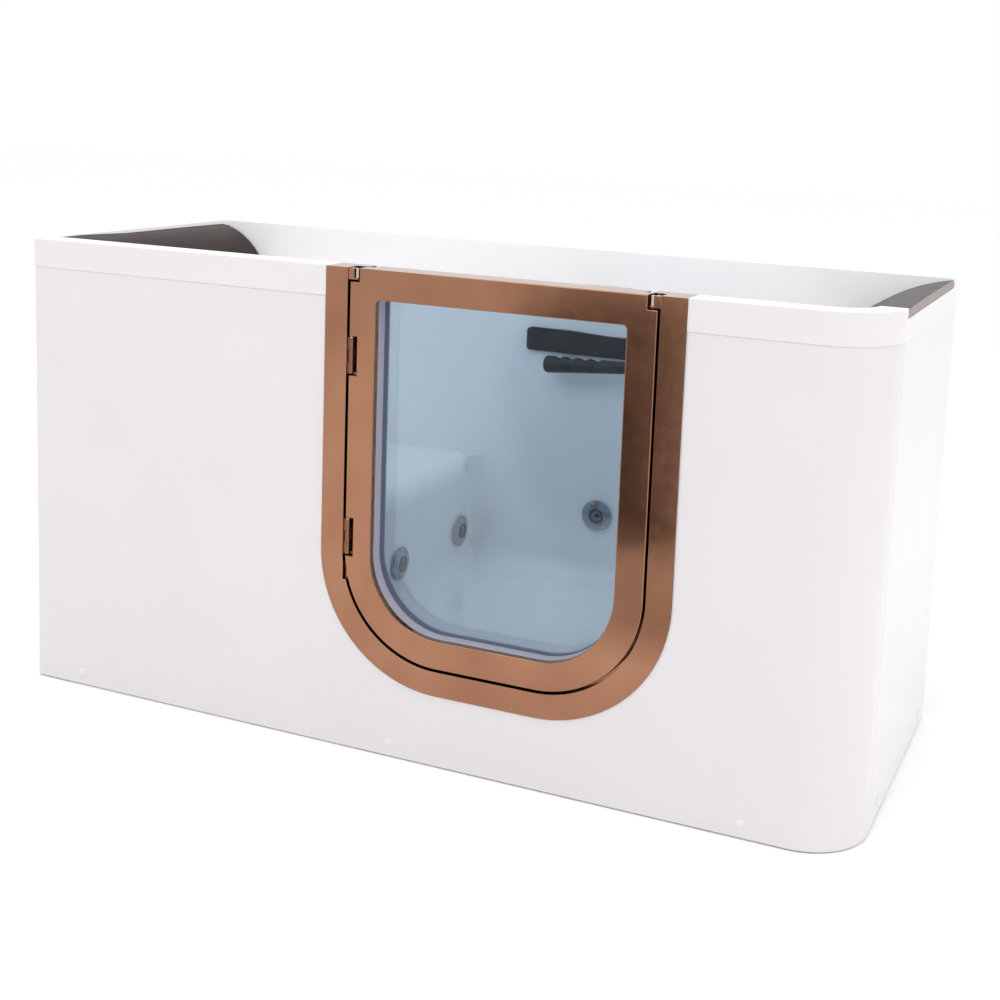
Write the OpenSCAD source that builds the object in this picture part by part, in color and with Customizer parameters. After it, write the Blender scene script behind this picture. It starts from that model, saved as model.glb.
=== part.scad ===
// Walk-in jetted bathtub with a hinged glass door in a copper-coloured frame.
// Millimetres, +Z up, front towards -Y. The origin is the bottom centre of the tub's box.

/* [Tub] */
// Overall length
tub_l = 1700; // [1600:10:1800]
// Overall depth, front of the door to the wall side
tub_w = 700; // [680:5:800]
// Overall height
tub_h = 910; // [880:5:960]
// Width of the front and back rims
rim_w = 60; // [52:1:70]
// Thickness of the acrylic and glass fibre shell
shell_t = 6; // [4:0.5:8]
// Drop of the rim's outer lip
lip_h = 55; // [40:1:70]
// Outer radius of the front right corner
big_corner_r = 115; // [90:1:130]
// Outer radius of the other three corners
small_corner_r = 10; // [8:1:20]
// Inner corner radius of the basin
basin_corner_r = 10; // [6:1:20]

/* [Seat and footwell] */
// Height of the seat
seat_h = 430; // [380:5:450]
// Place of the seat's front riser
seat_front_x = -165; // [-200:1:-150]
// Height of the footwell floor
floor_h = 185; // [180:1:195]
// Slope of the left backrest, from level
left_slope = 68; // [66:1:72]
// Slope of the right backrest, from level
right_slope = 70; // [68:1:74]
// Radius of the left end where it rolls over into the basin
left_roll_r = 134; // [120:1:150]
// Radius of the right end where it rolls over into the basin
right_roll_r = 297; // [270:1:310]
// Distance of the left roll's axis outside the tub's end
left_roll_out = 13; // [8:1:20]
// Distance of the right roll's axis outside the tub's end
right_roll_out = 44; // [36:1:50]
// Width of the white strip outside the left pad
left_strip_w = 12; // [8:1:16]
// Radius of the seat's front edge
seat_edge_r = 45; // [30:1:60]
// Radius at the foot of the backrests, the riser and the back wall
fillet_r = 60; // [40:1:64]
// Radius of the upright corner between the riser and the back wall
riser_corner_r = 31; // [20:1:32]

/* [Door] */
// Centre of the doorway along the tub
door_x = 172; // [160:1:180]
// Width of the doorway between the posts
door_w = 594; // [560:1:600]
// Height of the doorway's lowest point
sill_h = 184; // [180:1:190]
// Radius of the doorway's lower corners
door_r = 200; // [150:1:220]
// Gap round the door leaf
door_gap = 5; // [4:0.5:6]
// Face width of the fixed copper surround
surround_w = 46; // [40:1:50]
// Sheet thickness of the surround
sheet_t = 2; // [1.5:0.1:2.4]
// Amount the surround stands in front of the rim's lip
surround_proud = 1.5; // [1:0.1:2]
// Width of the flange that clamps the surround behind the shell's wall
clamp_w = 14; // [10:1:20]
// Face width of the leaf's frame
leaf_frame_w = 53; // [48:1:58]
// Height of the leaf's top rail
top_rail_h = 55; // [48:1:60]
// Thickness of the leaf's front part
leaf_front_t = 28; // [26:1:30]
// Width of the stop behind the leaf's edge
stop_w = 25; // [20:1:28]
// Thickness of the door gasket
gasket_t = 4.6; // [4:0.1:5]
// Thickness of the leaf's copper sheet
leaf_sheet_t = 3; // [2:0.1:4]
// Depth of the copper return inside the window
reveal_d = 13; // [8:1:16]
// Glass thickness
glass_t = 6; // [5:0.5:7]
// Depth the glass edge is let into the core
glass_edge = 7.5; // [6:0.5:9]
// Upper corner radius of the window
window_top_r = 8; // [5:0.5:12]

/* [Hinges] */
// Distance of the upper hinge's centre below the tub's top
upper_hinge_drop = 161; // [140:1:190]
// Height of the lower hinge's centre above the doorway's rounded corner
lower_hinge_up = 26; // [16:1:56]
// Length of a hinge
hinge_len = 66; // [50:1:72]
// Radius of a hinge knuckle
knuckle_r = 5; // [4.5:0.1:5.5]
// Radius of a hinge pin
hinge_pin_r = 2.5; // [2:0.1:3]
// Distance of the hinge axis inside the leaf's edge
hinge_inset = 2.5; // [2:0.1:3]

/* [Latch] */
// Place of the latch handle's spindle along the tub
latch_x = 385; // [375:1:395]
// Distance of the spindle below the tub's top
latch_drop = 24; // [23:0.5:26]
// Reach of the latch handle from its spindle
lever_len = 83; // [60:1:90]
// Radius of the latch spindle
spindle_r = 4; // [3:0.1:4.5]
// Radius of the latch bolt
bolt_r = 6; // [5:0.1:6.5]
// Travel of the latch bolt
bolt_travel = 20; // [15:1:22]

/* [Pads] */
// Thickness of the end pads
pad_t = 17; // [14:1:19]
// Amount that the left pad lies below the rim
left_pad_drop = 6; // [4:0.5:10]
// Amount that the drawn-in sides of a pad fall away
pad_side_fall = 5; // [4:0.5:11]
// Angle that the left pad rolls down to
left_pad_turn = 64; // [56:1:66]
// Angle that the right pad rolls down to
right_pad_turn = 50; // [44:1:54]

/* [Water jets] */
// Radius of a jet's chrome bezel
jet_bezel_r = 34; // [30:1:36]
// Radius of a jet's swivelling ball
jet_ball_r = 15; // [13:0.5:16]
// Radius of a jet's nozzle hole
jet_hole_r = 4.5; // [3:0.5:5.5]
// Inner radius of a jet's body
jet_body_bore_r = 19; // [18:0.5:20]
// Height of the two riser jets above the footwell's floor
riser_jet_up = 85; // [77:1:95]
// Distance between the two riser jets
riser_jet_span = 276; // [250:2:290]
// Place of the back jet along the tub
back_jet_x = 137; // [100:1:180]
// Distance of the back jet below the seat
back_jet_drop = 97; // [88:1:110]

/* [Handle] */
// Left end of the grab handle
handle_x = -42; // [-60:1:-20]
// Length of the grab handle's plate
handle_len = 305; // [260:5:310]
// Distance of the plate's centre below the tub's top
handle_drop = 203; // [190:1:220]
// Height of the plate
handle_plate_h = 50; // [40:1:54]
// Thickness of the plate
handle_plate_t = 10; // [8:1:14]
// Clear gap between the grip and the wall
grip_gap = 30; // [26:1:34]
// Radius of the grip at its thick end
grip_r = 18.5; // [16:0.5:19]
// Rise of the grip towards its thin end
grip_lift = 12; // [8:1:12]
// Distance between the grip's finger grooves
groove_pitch = 29; // [25:1:32]

/* [Waste and controls] */
// Distance of the drain from the foot of the right backrest
drain_in = 127; // [121:1:137]
// Place of the drain across the tub
drain_y = 110; // [90:1:130]
// Radius of the drain's flange
drain_r = 34; // [30:1:38]
// Lift of the drain plug
plug_lift = 10; // [6:1:12]
// Distance of the overflow from the drain, along the tub
overflow_run = 62; // [58:1:64]
// Distance of the overflow below the tub's top
overflow_drop = 130; // [124:1:140]
// Radius of the overflow's rosette
overflow_r = 34; // [30:1:36]
// Distance of the air control from the overflow, to the left
air_control_run = 127; // [117:1:137]
// Distance of the pump's push button from the overflow, to the right
button_run = 68; // [64:1:84]
// Distance of the air control and the button below the tub's top
control_drop = 122; // [118:1:130]
// Travel of the push button
button_travel = 3; // [2:0.5:4]
// Height of the suction fitting above the footwell's floor
suction_up = 135; // [125:1:155]
// Radius of the suction cover
suction_r = 48; // [40:1:52]

/* [Frame, panels and pump] */
// Thickness of the skirt and the side panels
panel_t = 4; // [3:0.5:5]
// Gap between the panels' lower edge and the floor
panel_floor_gap = 3; // [2:0.5:6]
// Amount that the panels lie behind the rim's lip
panel_inset = 1.5; // [1.5:0.1:3]
// Gap at the panels' joints
joint_gap = 1.2; // [0.8:0.1:2]
// Width of the cover strip at the right corner joint
strip_w = 8; // [6:1:14]
// Side of the frame's square tube
tube_w = 25; // [20:1:28]
// Wall of the frame's square tube
tube_wall = 2; // [1.5:0.1:3]
// Height of the frame's lower side
frame_z = 62; // [56:1:64]
// Radius of a foot's pad
foot_r = 22; // [18:1:26]
// Radius of a foot's threaded stem
stem_r = 6; // [5:0.5:8]
// Height of the screw caps' centres
cap_z = 30; // [26:1:36]
// Radius of a screw cap
cap_r = 8; // [6:0.5:10]
// Distances of the outer front screw caps from the tub's left and right ends
front_caps_in = [119, 194];
// Place of the middle front screw cap along the tub
middle_cap_x = -19; // [-40:1:0]
// Places of the side screw caps across the tub
side_caps_y = [-155, 265];
// Place of the pump's shaft across the tub
pump_y = 0; // [-20:1:20]
// Height of the pump's shaft
pump_z = 205; // [195:1:215]
// Distance of the pump's wet end from the suction fitting
pump_run = 123.5; // [120:0.5:130]
// Gap between the motor's rear end and the side panel
motor_end_gap = 14.5; // [12:0.5:30]
// Radius of the motor
motor_r = 66; // [55:1:70]
// Radius of the water pipes
pipe_r = 18; // [16:0.5:19]
// Radius of the air pipe
air_r = 8; // [6:0.5:8]

/* [Hidden] */
$fn = 64;

// Clearances
seat_gap = 0.3;
bore_gap = 0.06;
far = 2000;

// Main planes
half_l = tub_l / 2;
back_y = tub_w / 2;
door_face_y = -back_y;
lip_y = door_face_y + surround_proud;
inner_y = back_y - rim_w;
outer_wall_y = inner_y + shell_t;
lip_z = tub_h - lip_h;
panel_top_z = lip_z - joint_gap;
panel_x = half_l - panel_inset;
panel_y = lip_y + panel_inset;

// Rolled ends: each pad lies on an arc about its own axis
left_roll_x = -half_l - left_roll_out;
left_shelf_z = tub_h - left_pad_drop - pad_t - seat_gap;
left_roll_z = left_shelf_z - left_roll_r;
right_roll_x = half_l + right_roll_out;
right_pad_r = right_roll_r + seat_gap + pad_t;
right_roll_z = tub_h - sqrt(right_pad_r * right_pad_r - right_roll_out * right_roll_out);
right_shelf_z = right_roll_z + right_roll_r;

// Basin section, as corners [x, z, fillet radius] from the left end to the right end
left_start_x = -half_l + left_strip_w;
left_corner_x = left_roll_x + left_roll_r * tan(left_slope / 2);
right_corner_x = right_roll_x - right_roll_r * tan(right_slope / 2);
left_foot_x = left_corner_x + (left_shelf_z - seat_h) / tan(left_slope);
right_foot_x = right_corner_x - (right_shelf_z - floor_h) / tan(right_slope);
beyond = 40;
section = [
    [left_roll_x - beyond, tub_h + beyond, 0],
    [left_roll_x - beyond, left_shelf_z, 0],
    [left_corner_x, left_shelf_z, left_roll_r],
    [left_foot_x, seat_h, fillet_r],
    [seat_front_x, seat_h, seat_edge_r],
    [seat_front_x, floor_h, fillet_r],
    [right_foot_x, floor_h, fillet_r],
    [right_corner_x, right_shelf_z, right_roll_r],
    [right_roll_x + beyond, right_shelf_z, 0],
    [right_roll_x + beyond, tub_h + beyond, 0]];

// Heights and places that follow the main sizes
upper_hinge_z = tub_h - upper_hinge_drop;
lower_hinge_z = sill_h + door_r + lower_hinge_up;
handle_z = tub_h - handle_drop;
overflow_z = tub_h - overflow_drop;
control_z = tub_h - control_drop;
riser_jet_z = floor_h + riser_jet_up;
riser_jet_far = inner_y - riser_corner_r - jet_bezel_r - 1;
riser_jet_y = [riser_jet_far - riser_jet_span, riser_jet_far];
back_jet_z = seat_h - back_jet_drop;
suction_z = floor_h + suction_up;
suction_x = right_foot_x + suction_up / tan(right_slope);
pump_x = suction_x + pump_run;
drain_x = right_foot_x - drain_in;
overflow_x = drain_x + overflow_run;
air_control_x = overflow_x - air_control_run;
button_x = overflow_x + button_run;
front_caps_x = [-half_l + front_caps_in[0], middle_cap_x, half_l - front_caps_in[1]];

// Doorway, stop and leaf
open_x0 = door_x - door_w / 2;
open_x1 = door_x + door_w / 2;
leaf_x0 = open_x0 + door_gap;
leaf_x1 = open_x1 - door_gap;
window_m = -door_gap - leaf_frame_w;
leaf_back_y = door_face_y + leaf_front_t;
gasket_gap = 0.4;
stop_y = leaf_back_y + gasket_t + gasket_gap;
surround_back_y = -inner_y - seat_gap;
core_back_y = surround_back_y - 3.7;
core_side_gap = 12;
core_m = -stop_w - core_side_gap;
retainer_t = 3;
retainer_w = 9;
glass_seat = 2;
glass_y = core_back_y - glass_seat - glass_t;
seal_d = 12;
lining_t = 2;

// Corner stops at the leaf's top corners
stop_block_w = 12;
stop_block_d = 12;
stop_pin_r = 4;
notch_w = stop_block_w + 2 * stop_pin_r + 3.5 - door_gap;
notch_h = 25;

// Hinges
hinge_x = leaf_x0 + hinge_inset;
hinge_y = door_face_y + knuckle_r;
hinge_slot_h = hinge_len + 6;
hinge_slot_w = 16;
hinge_slot_d = 15;
hinge_plate_t = 1.8;
knuckle_h = hinge_len / 3;
knuckle_gap = 0.2;

// Latch: the handle's pinion drives the bolt's flat
latch_z = tub_h - latch_drop;
hub_r = 16;
hub_y = core_back_y + 8;
lever_h = 18;
lever_t = 17;
pinion_pitch = bolt_travel / (PI / 2);
rack_z = latch_z - pinion_pitch;
bolt_z = rack_z + 0.5;
bolt_y = door_face_y + 15;
pinion_t = 6;
rack_front = pinion_pitch + 1;
rack_back = rack_front + bolt_travel;
bolt_tip_x = leaf_x1 - 1;
keeper_l = 18;
keeper_gap = 0.6;

// Direction and distance helpers
function unit(v) = v / norm(v);
function xy(p) = [p[0], p[1]];
function outward(a, b) = let(d = unit(b - a)) [d[1], -d[0]];
function cross2(u, w) = u[0] * w[1] - u[1] * w[0];

// Moves each corner of an open outline outwards by o, and its radius with it
function grown(c, o) = let(n = len(c)) [for (i = [0:n - 1])
    let(p = xy(c[i]), a = xy(c[max(i - 1, 0)]), b = xy(c[min(i + 1, n - 1)]),
        n1 = i == 0 ? outward(p, b) : outward(a, p), n2 = i == n - 1 ? n1 : outward(p, b),
        q = p + o * (n1 + n2) / (1 + n1 * n2), s = sign(cross2(p - a, b - p)))
    [q[0], q[1], c[i][2] == 0 ? 0 : max(1, c[i][2] + s * o)]];

// Rounds each corner of an outline with an arc of its own radius
function rounded(c, steps = 16) = let(n = len(c)) [for (i = [0:n - 1])
    let(p = xy(c[i]), a = xy(c[max(i - 1, 0)]), b = xy(c[min(i + 1, n - 1)]), r = c[i][2])
    each (r == 0 ? [p] : corner_arc(p, unit(a - p), unit(b - p), r, steps))];
function corner_arc(p, u, w, r, steps) = let(half = acos(u * w) / 2,
    c = p + unit(u + w) * r / sin(half), s0 = p + u * r / tan(half), s1 = p + w * r / tan(half),
    a0 = atan2(s0[1] - c[1], s0[0] - c[0]), a1 = atan2(s1[1] - c[1], s1[0] - c[0]),
    d = (a1 - a0 + 540) % 360 - 180)
    [for (k = [0:steps]) c + r * [cos(a0 + d * k / steps), sin(a0 + d * k / steps)]];

// Rounded rectangle with one radius per corner, from the lower left anticlockwise
module plan(x0, x1, y0, y1, a, b, c, d) {
    polygon([[x0 + a, y0], [x1 - b, y0], [x1, y0 + b], [x1, y1 - c],
        [x1 - c, y1], [x0 + d, y1], [x0, y1 - d], [x0, y0 + a]]);
    translate([x0 + a, y0 + a]) circle(a);
    translate([x1 - b, y0 + b]) circle(b);
    translate([x1 - c, y1 - c]) circle(c);
    translate([x0 + d, y1 - d]) circle(d);
}
module plan_even(x0, x1, y0, y1, r) plan(x0, x1, y0, y1, r, r, r, r);

// Extrusions of a drawing: (x, z) along Y, (y, z) along X, and (x, y) between two heights
module along_y(y0, y1) translate([0, y1, 0]) rotate([90, 0, 0]) linear_extrude(y1 - y0) children();
module along_x(x0, x1) translate([x0, 0, 0]) rotate([90, 0, 90]) linear_extrude(x1 - x0) children();
module slab(z0, z1) translate([0, 0, z0]) linear_extrude(z1 - z0) children();
module box(x0, x1, y0, y1, z0, z1) translate([x0, y0, z0]) cube([x1 - x0, y1 - y0, z1 - z0]);
module rod_y(x, y, z, r, l) translate([x, y, z]) rotate([-90, 0, 0]) cylinder(r = r, h = l);
module rod_x(x, y, z, r, l) translate([x, y, z]) rotate([0, 90, 0]) cylinder(r = r, h = l);
module rod_z(x, y, z, r, l) translate([x, y, z]) cylinder(r = r, h = l);

// A pipe through a list of points, with a rounder elbow at each corner
elbow_more = 1.5;
module run(points, r) {
    for (i = [0:len(points) - 2]) let(a = points[i], b = points[i + 1], d = b - a)
        translate(a) rotate([0, acos(d[2] / norm(d)), atan2(d[1], d[0])]) cylinder(r = r, h = norm(d));
    for (i = [1:len(points) - 2]) translate(points[i]) sphere(r + elbow_more, $fn = 48);
}

// Outlines of the tub, the basin and the doorway
module tub_plan(i) plan(-half_l + i, half_l - i, lip_y + i, back_y - i,
    small_corner_r - min(i, small_corner_r - 1), big_corner_r - i,
    small_corner_r - min(i, small_corner_r - 1), small_corner_r - min(i, small_corner_r - 1));
basin_end_r = big_corner_r - 45;
basin_end_x = half_l - 45;
pad_recess_y = -back_y + big_corner_r + 10;
module basin_plan(o) {
    plan(left_start_x - o, basin_end_x + o, -inner_y - o, inner_y + o,
        basin_corner_r + o, basin_end_r + o, basin_corner_r + o, basin_corner_r + o);
    translate([basin_end_x - basin_end_r, pad_recess_y - o])
        square([half_l + beyond - basin_end_x + basin_end_r, inner_y - pad_recess_y + 2 * o]);
}
module doorway(m, top = tub_h) {
    x0 = open_x0 - m;
    x1 = open_x1 + m;
    z0 = sill_h - m;
    r = door_r + m;
    polygon([[x0 + r, z0], [x1 - r, z0], [x1, z0 + r], [x1, top], [x0, top], [x0, z0 + r]]);
    translate([x0 + r, z0 + r]) circle(r, $fn = 128);
    translate([x1 - r, z0 + r]) circle(r, $fn = 128);
}
module door_ring(m_out, m_in, y0, y1, top = tub_h) along_y(y0, y1) difference() {
    doorway(m_out, top);
    doorway(m_in, tub_h + beyond);
}
module window(g) let(m = window_m + g, r = door_r + m, t = window_top_r + g)
    plan(open_x0 - m, open_x1 + m, sill_h - m, tub_h - top_rail_h + g, r, r, t, t, $fn = 128);
module leaf_ring(m_out, g, y0, y1, top) along_y(y0, y1) difference() {
    doorway(m_out, top);
    window(g);
}

// Basin as a solid grown by o: section, plan and rounded foot of the back wall
module basin_solid(o, top) difference() {
    intersection() {
        along_y(-far, far) polygon(rounded([for (p = grown(section, o)) p[1] > tub_h ? [p[0], top, 0] : p]));
        along_x(-far, far) plan(-inner_y - o, inner_y + o, floor_h - o, top + beyond, 1, fillet_r + o, 1, 1);
        slab(-1, top) basin_plan(o);
    }
    // Rounded corner between the riser and the back wall
    slab(0, seat_h - o) difference() {
        translate([seat_front_x - o - 1, inner_y - riser_corner_r])
            square([riser_corner_r + o + 1, riser_corner_r + o + 1]);
        translate([seat_front_x + riser_corner_r, inner_y - riser_corner_r]) circle(riser_corner_r + o);
    }
}
lip_inner = 0.5;
module tub_shell() color("#f3f1f1") difference() {
    union() {
        difference() {
            slab(lip_z, tub_h) tub_plan(0);
            slab(lip_z - 1, tub_h - shell_t) tub_plan(shell_t);
        }
        intersection() {
            basin_solid(shell_t, tub_h);
            slab(0, tub_h) tub_plan(lip_inner);
        }
    }
    basin_solid(0, tub_h + 5);
    along_y(-far, -inner_y) doorway(surround_w + seat_gap, tub_h + beyond);
    for (j = [1:3]) jet_place(j) hole(jet_body_r);
    suction_place() hole(suction_tail_r);
    translate([drain_x, drain_y, floor_h]) hole(drain_tail_r);
    wall_place(overflow_x, overflow_z) hole(overflow_tail_r);
    for (x = [air_control_x, button_x]) wall_place(x, control_z) hole(collar_tail_r);
    grab_screw_places() hole(grab_screw_r);
}
module hole(r) translate([0, 0, -20]) cylinder(r = r + seat_gap, h = 40);

// Frames on the basin's walls, with local +Z pointing into the tub
module wall_place(x, z) translate([x, inner_y, z]) rotate([90, 0, 0]) children();
module jet_place(j) {
    if (j < 3) translate([seat_front_x, riser_jet_y[j - 1], riser_jet_z]) rotate([0, 90, 0]) children();
    else wall_place(back_jet_x, back_jet_z) rotate(-90) children();
}
module suction_place() translate([suction_x, 0, suction_z]) rotate([0, -right_slope, 0]) children();
grab_screw_shares = [0.12, 0.5, 0.88];
module grab_screw_places() for (f = grab_screw_shares) wall_place(handle_x + handle_len * f, handle_z) children();

// Skirt, side panels and the cover strip of their right joint
module panel_ring() slab(panel_floor_gap, panel_top_z) difference() {
    tub_plan(panel_inset);
    tub_plan(panel_inset + panel_t);
}
right_joint_y = -back_y + big_corner_r;
left_joint_y = -back_y + small_corner_r + 8;
panel_end_y = back_y - small_corner_r;
module side_panel(side, y0) difference() {
    intersection() {
        panel_ring();
        box(side < 0 ? -far : 0, side < 0 ? 0 : far, y0, panel_end_y, -1, tub_h);
    }
    cap_holes();
}
module front_skirt() color("#e9e6e5") difference() {
    panel_ring();
    box(-far, 0, left_joint_y, far, -1, tub_h);
    box(0, far, right_joint_y, far, -1, tub_h);
    along_y(-far, 0) doorway(surround_w + seat_gap, tub_h + beyond);
    cap_holes();
}
module right_side_panel() color("#f6f4f5") side_panel(1, right_joint_y + strip_w + 2 * joint_gap);
module left_side_panel() color("#f1eff0") side_panel(-1, left_joint_y + joint_gap);
strip_back_t = 1.8;
strip_back_over = 12;
module corner_cover_strip() color("#f4f3f5") {
    intersection() {
        panel_ring();
        box(0, far, right_joint_y + joint_gap, right_joint_y + strip_w + joint_gap, -1, tub_h);
    }
    box(panel_x - panel_t - seat_gap - strip_back_t, panel_x - panel_t - seat_gap, right_joint_y - 4,
        right_joint_y + strip_w + strip_back_over, panel_floor_gap, panel_top_z);
    box(panel_x - panel_t - seat_gap - 1, panel_x - 1, right_joint_y + joint_gap,
        right_joint_y + strip_w + joint_gap, panel_floor_gap, panel_top_z);
}

// Places of the panel screws, with local +Z pointing out of the panel
module cap_places() {
    for (x = front_caps_x) translate([x, panel_y, cap_z]) rotate([90, 0, 0]) children();
    for (y = side_caps_y, s = [-1, 1]) translate([s * panel_x, y, cap_z]) rotate([0, s * 90, 0]) children();
}
screw_r = 2.5;
module cap_holes() cap_places() translate([0, 0, -20]) cylinder(r = screw_r + 0.1, h = 40);
screw_l = panel_t + 22;
module panel_screws() color("#b9bcc0") cap_places() translate([0, 0, -screw_l]) cylinder(r = screw_r, h = screw_l);
cap_bevel = 0.9;
module screw_caps() color("#f4f3f4") cap_places() {
    cylinder(r = cap_r, h = panel_inset - cap_bevel);
    translate([0, 0, panel_inset - cap_bevel]) cylinder(r1 = cap_r, r2 = cap_r - 2.5 * cap_bevel, h = cap_bevel);
}

// Welded frame of square tube, with supports under the shell and tabs for the panel screws
tab_t = 4;
half_tube = tube_w / 2;
rail_y = -panel_y - panel_t - seat_gap - tab_t - half_tube;
post_x = panel_x - panel_t - seat_gap - tab_t - half_tube;
frame_top_z = frame_z + tube_w;
right_link_y = -back_y + big_corner_r + 30;
end_cross = [-post_x + 60, post_x - 90];
support_x = [seat_front_x - 215, seat_front_x + 70, right_foot_x - 52];
support_y = inner_y - 110;
pump_cross_x = pump_x;
post_top_z = tub_h - shell_t - seat_gap;
foot_y = rail_y - 40;
feet = [for (x = end_cross, y = [-foot_y, foot_y]) [x, y]];
module frame_bars(i) {
    w = half_tube - i;
    z0 = frame_z + i;
    z1 = frame_top_z - i;
    box(-post_x - w, end_cross[1] + w, -rail_y - w, -rail_y + w, z0, z1);
    box(-post_x - w, post_x + w, rail_y - w, rail_y + w, z0, z1);
    for (x = concat(end_cross, support_x, [pump_cross_x])) box(x - w, x + w, -rail_y - w, rail_y + w, z0, z1);
    box(-post_x - w, -post_x + w, -rail_y - w, rail_y + w, z0, z1);
    box(post_x - w, post_x + w, right_link_y - w, rail_y + w, z0, z1);
    box(end_cross[1] - w, post_x + w, right_link_y - w, right_link_y + w, z0, z1);
    for (x = support_x, s = [-1, 1]) box(x - w, x + w, s * support_y - w, s * support_y + w, z0,
        (x < seat_front_x ? seat_h : floor_h) - shell_t - seat_gap - i);
    for (p = [[-post_x, -rail_y], [-post_x, rail_y], [post_x, rail_y]])
        box(p[0] - w, p[0] + w, p[1] - w, p[1] + w, z0, post_top_z - i);
}
tab_half = 12;
tab_z = 16;
module frame_tabs() {
    for (x = front_caps_x) box(x - tab_half, x + tab_half, -rail_y - half_tube - tab_t, -rail_y - half_tube,
        tab_z, frame_top_z);
    for (y = side_caps_y, s = [-1, 1]) box(s * (post_x + half_tube + tab_t / 2) - tab_t / 2,
        s * (post_x + half_tube + tab_t / 2) + tab_t / 2, y - tab_half, y + tab_half, tab_z, frame_top_z);
}
module base_frame() color("#c9ccd0") difference() {
    union() {
        difference() {
            frame_bars(0);
            frame_bars(tube_wall);
        }
        frame_tabs();
    }
    for (p = feet) rod_z(p[0], p[1], 0, stem_r + seat_gap, tub_h);
    cap_holes();
}
foot_pad_h = 8;
nut_h = 8;
module levelling_feet() color("#3a3c40") for (p = feet) translate([p[0], p[1], 0]) {
    cylinder(r = foot_r, h = foot_pad_h);
    translate([0, 0, foot_pad_h]) cylinder(r1 = foot_r * 0.8, r2 = stem_r + 2, h = foot_pad_h);
    cylinder(r = stem_r, h = frame_top_z + nut_h + 4);
}
module foot_lock_nuts() color("#b9bcc0") for (p = feet, z = [frame_z - nut_h, frame_top_z])
    translate([p[0], p[1], z]) difference() {
        cylinder(r = stem_r + 4.5, h = nut_h, $fn = 6);
        translate([0, 0, -1]) cylinder(r = stem_r + bore_gap, h = nut_h + 2);
    }

// Fixed copper surround: a folded and welded box section round the doorway
module post_cap(side) let(x0 = side < 0 ? open_x0 : open_x1) {
    box(min(x0, x0 + side * surround_w), max(x0, x0 + side * surround_w), door_face_y, surround_back_y,
        tub_h - sheet_t, tub_h);
    box(min(x0, x0 - side * stop_w), max(x0, x0 - side * stop_w), stop_y, surround_back_y,
        tub_h - sheet_t, tub_h);
}
// Room for the leaf's rounded corner, which swings behind the hinge axis just below the lower hinge
swing_relief_z = sill_h + door_r - 56;
swing_relief_h = 32;
swing_relief_r = knuckle_r * sqrt(2) + 0.6;
module swing_relief(e) rod_z(hinge_x, hinge_y, swing_relief_z - e, swing_relief_r + e, swing_relief_h + e);
module door_surround() color("#b87a58") difference() {
    union() {
        intersection() {
            swing_relief(sheet_t);
            along_y(door_face_y, surround_back_y) difference() {
                doorway(surround_w, tub_h);
                doorway(0, tub_h + beyond);
            }
        }
        door_ring(surround_w, 0, door_face_y, door_face_y + sheet_t);
        door_ring(surround_w, surround_w - sheet_t, door_face_y + sheet_t, surround_back_y);
        door_ring(sheet_t, 0, door_face_y + sheet_t, stop_y);
        door_ring(sheet_t, -stop_w, stop_y, stop_y + sheet_t);
        door_ring(-stop_w + sheet_t, -stop_w, stop_y + sheet_t, surround_back_y);
        door_ring(surround_w, -stop_w, surround_back_y - sheet_t, surround_back_y);
        door_ring(surround_w + clamp_w, surround_w - sheet_t, -outer_wall_y - seat_gap - sheet_t,
            -outer_wall_y - seat_gap, tub_h - shell_t - seat_gap);
        post_cap(-1);
        post_cap(1);
    }
    rod_x(open_x1 - 2, bolt_y, bolt_z, bolt_r + keeper_gap, sheet_t + 4);
    swing_relief(0);
}
module door_gasket() color("#4c4c52") door_ring(-3, -stop_w + 3, stop_y - gasket_t, stop_y, tub_h - 6);
module latch_keeper() color("#9a9ca0") difference() {
    rod_x(open_x1 + sheet_t, bolt_y, bolt_z, bolt_r + 5, keeper_l);
    rod_x(open_x1, bolt_y, bolt_z, bolt_r + keeper_gap, keeper_l + 6);
}

// Corner stops on the posts, in the leaf's top notches: a block with a foot, and a round pin on it
stop_y0 = door_face_y + 1.5;
stop_foot_z = tub_h - notch_h + 3.5;
stop_foot_h = 3;
module stop_at(side) translate([side < 0 ? open_x0 : open_x1, stop_y0, stop_foot_z])
    mirror([side < 0 ? 0 : 1, 0, 0]) children();
module corner_stop_blocks() color("#b98a70") for (side = [-1, 1]) stop_at(side) {
    cube([stop_block_w, stop_block_d, tub_h - 1 - stop_foot_z]);
    cube([stop_block_w + 2 * stop_pin_r, stop_block_d, stop_foot_h]);
}
module corner_stop_pins() color("#8d9094") for (side = [-1, 1]) stop_at(side)
    translate([stop_block_w + stop_pin_r + seat_gap, stop_block_d / 2, stop_foot_h])
        cylinder(r = stop_pin_r, h = tub_h - 1.5 - stop_foot_z - stop_foot_h);

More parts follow.
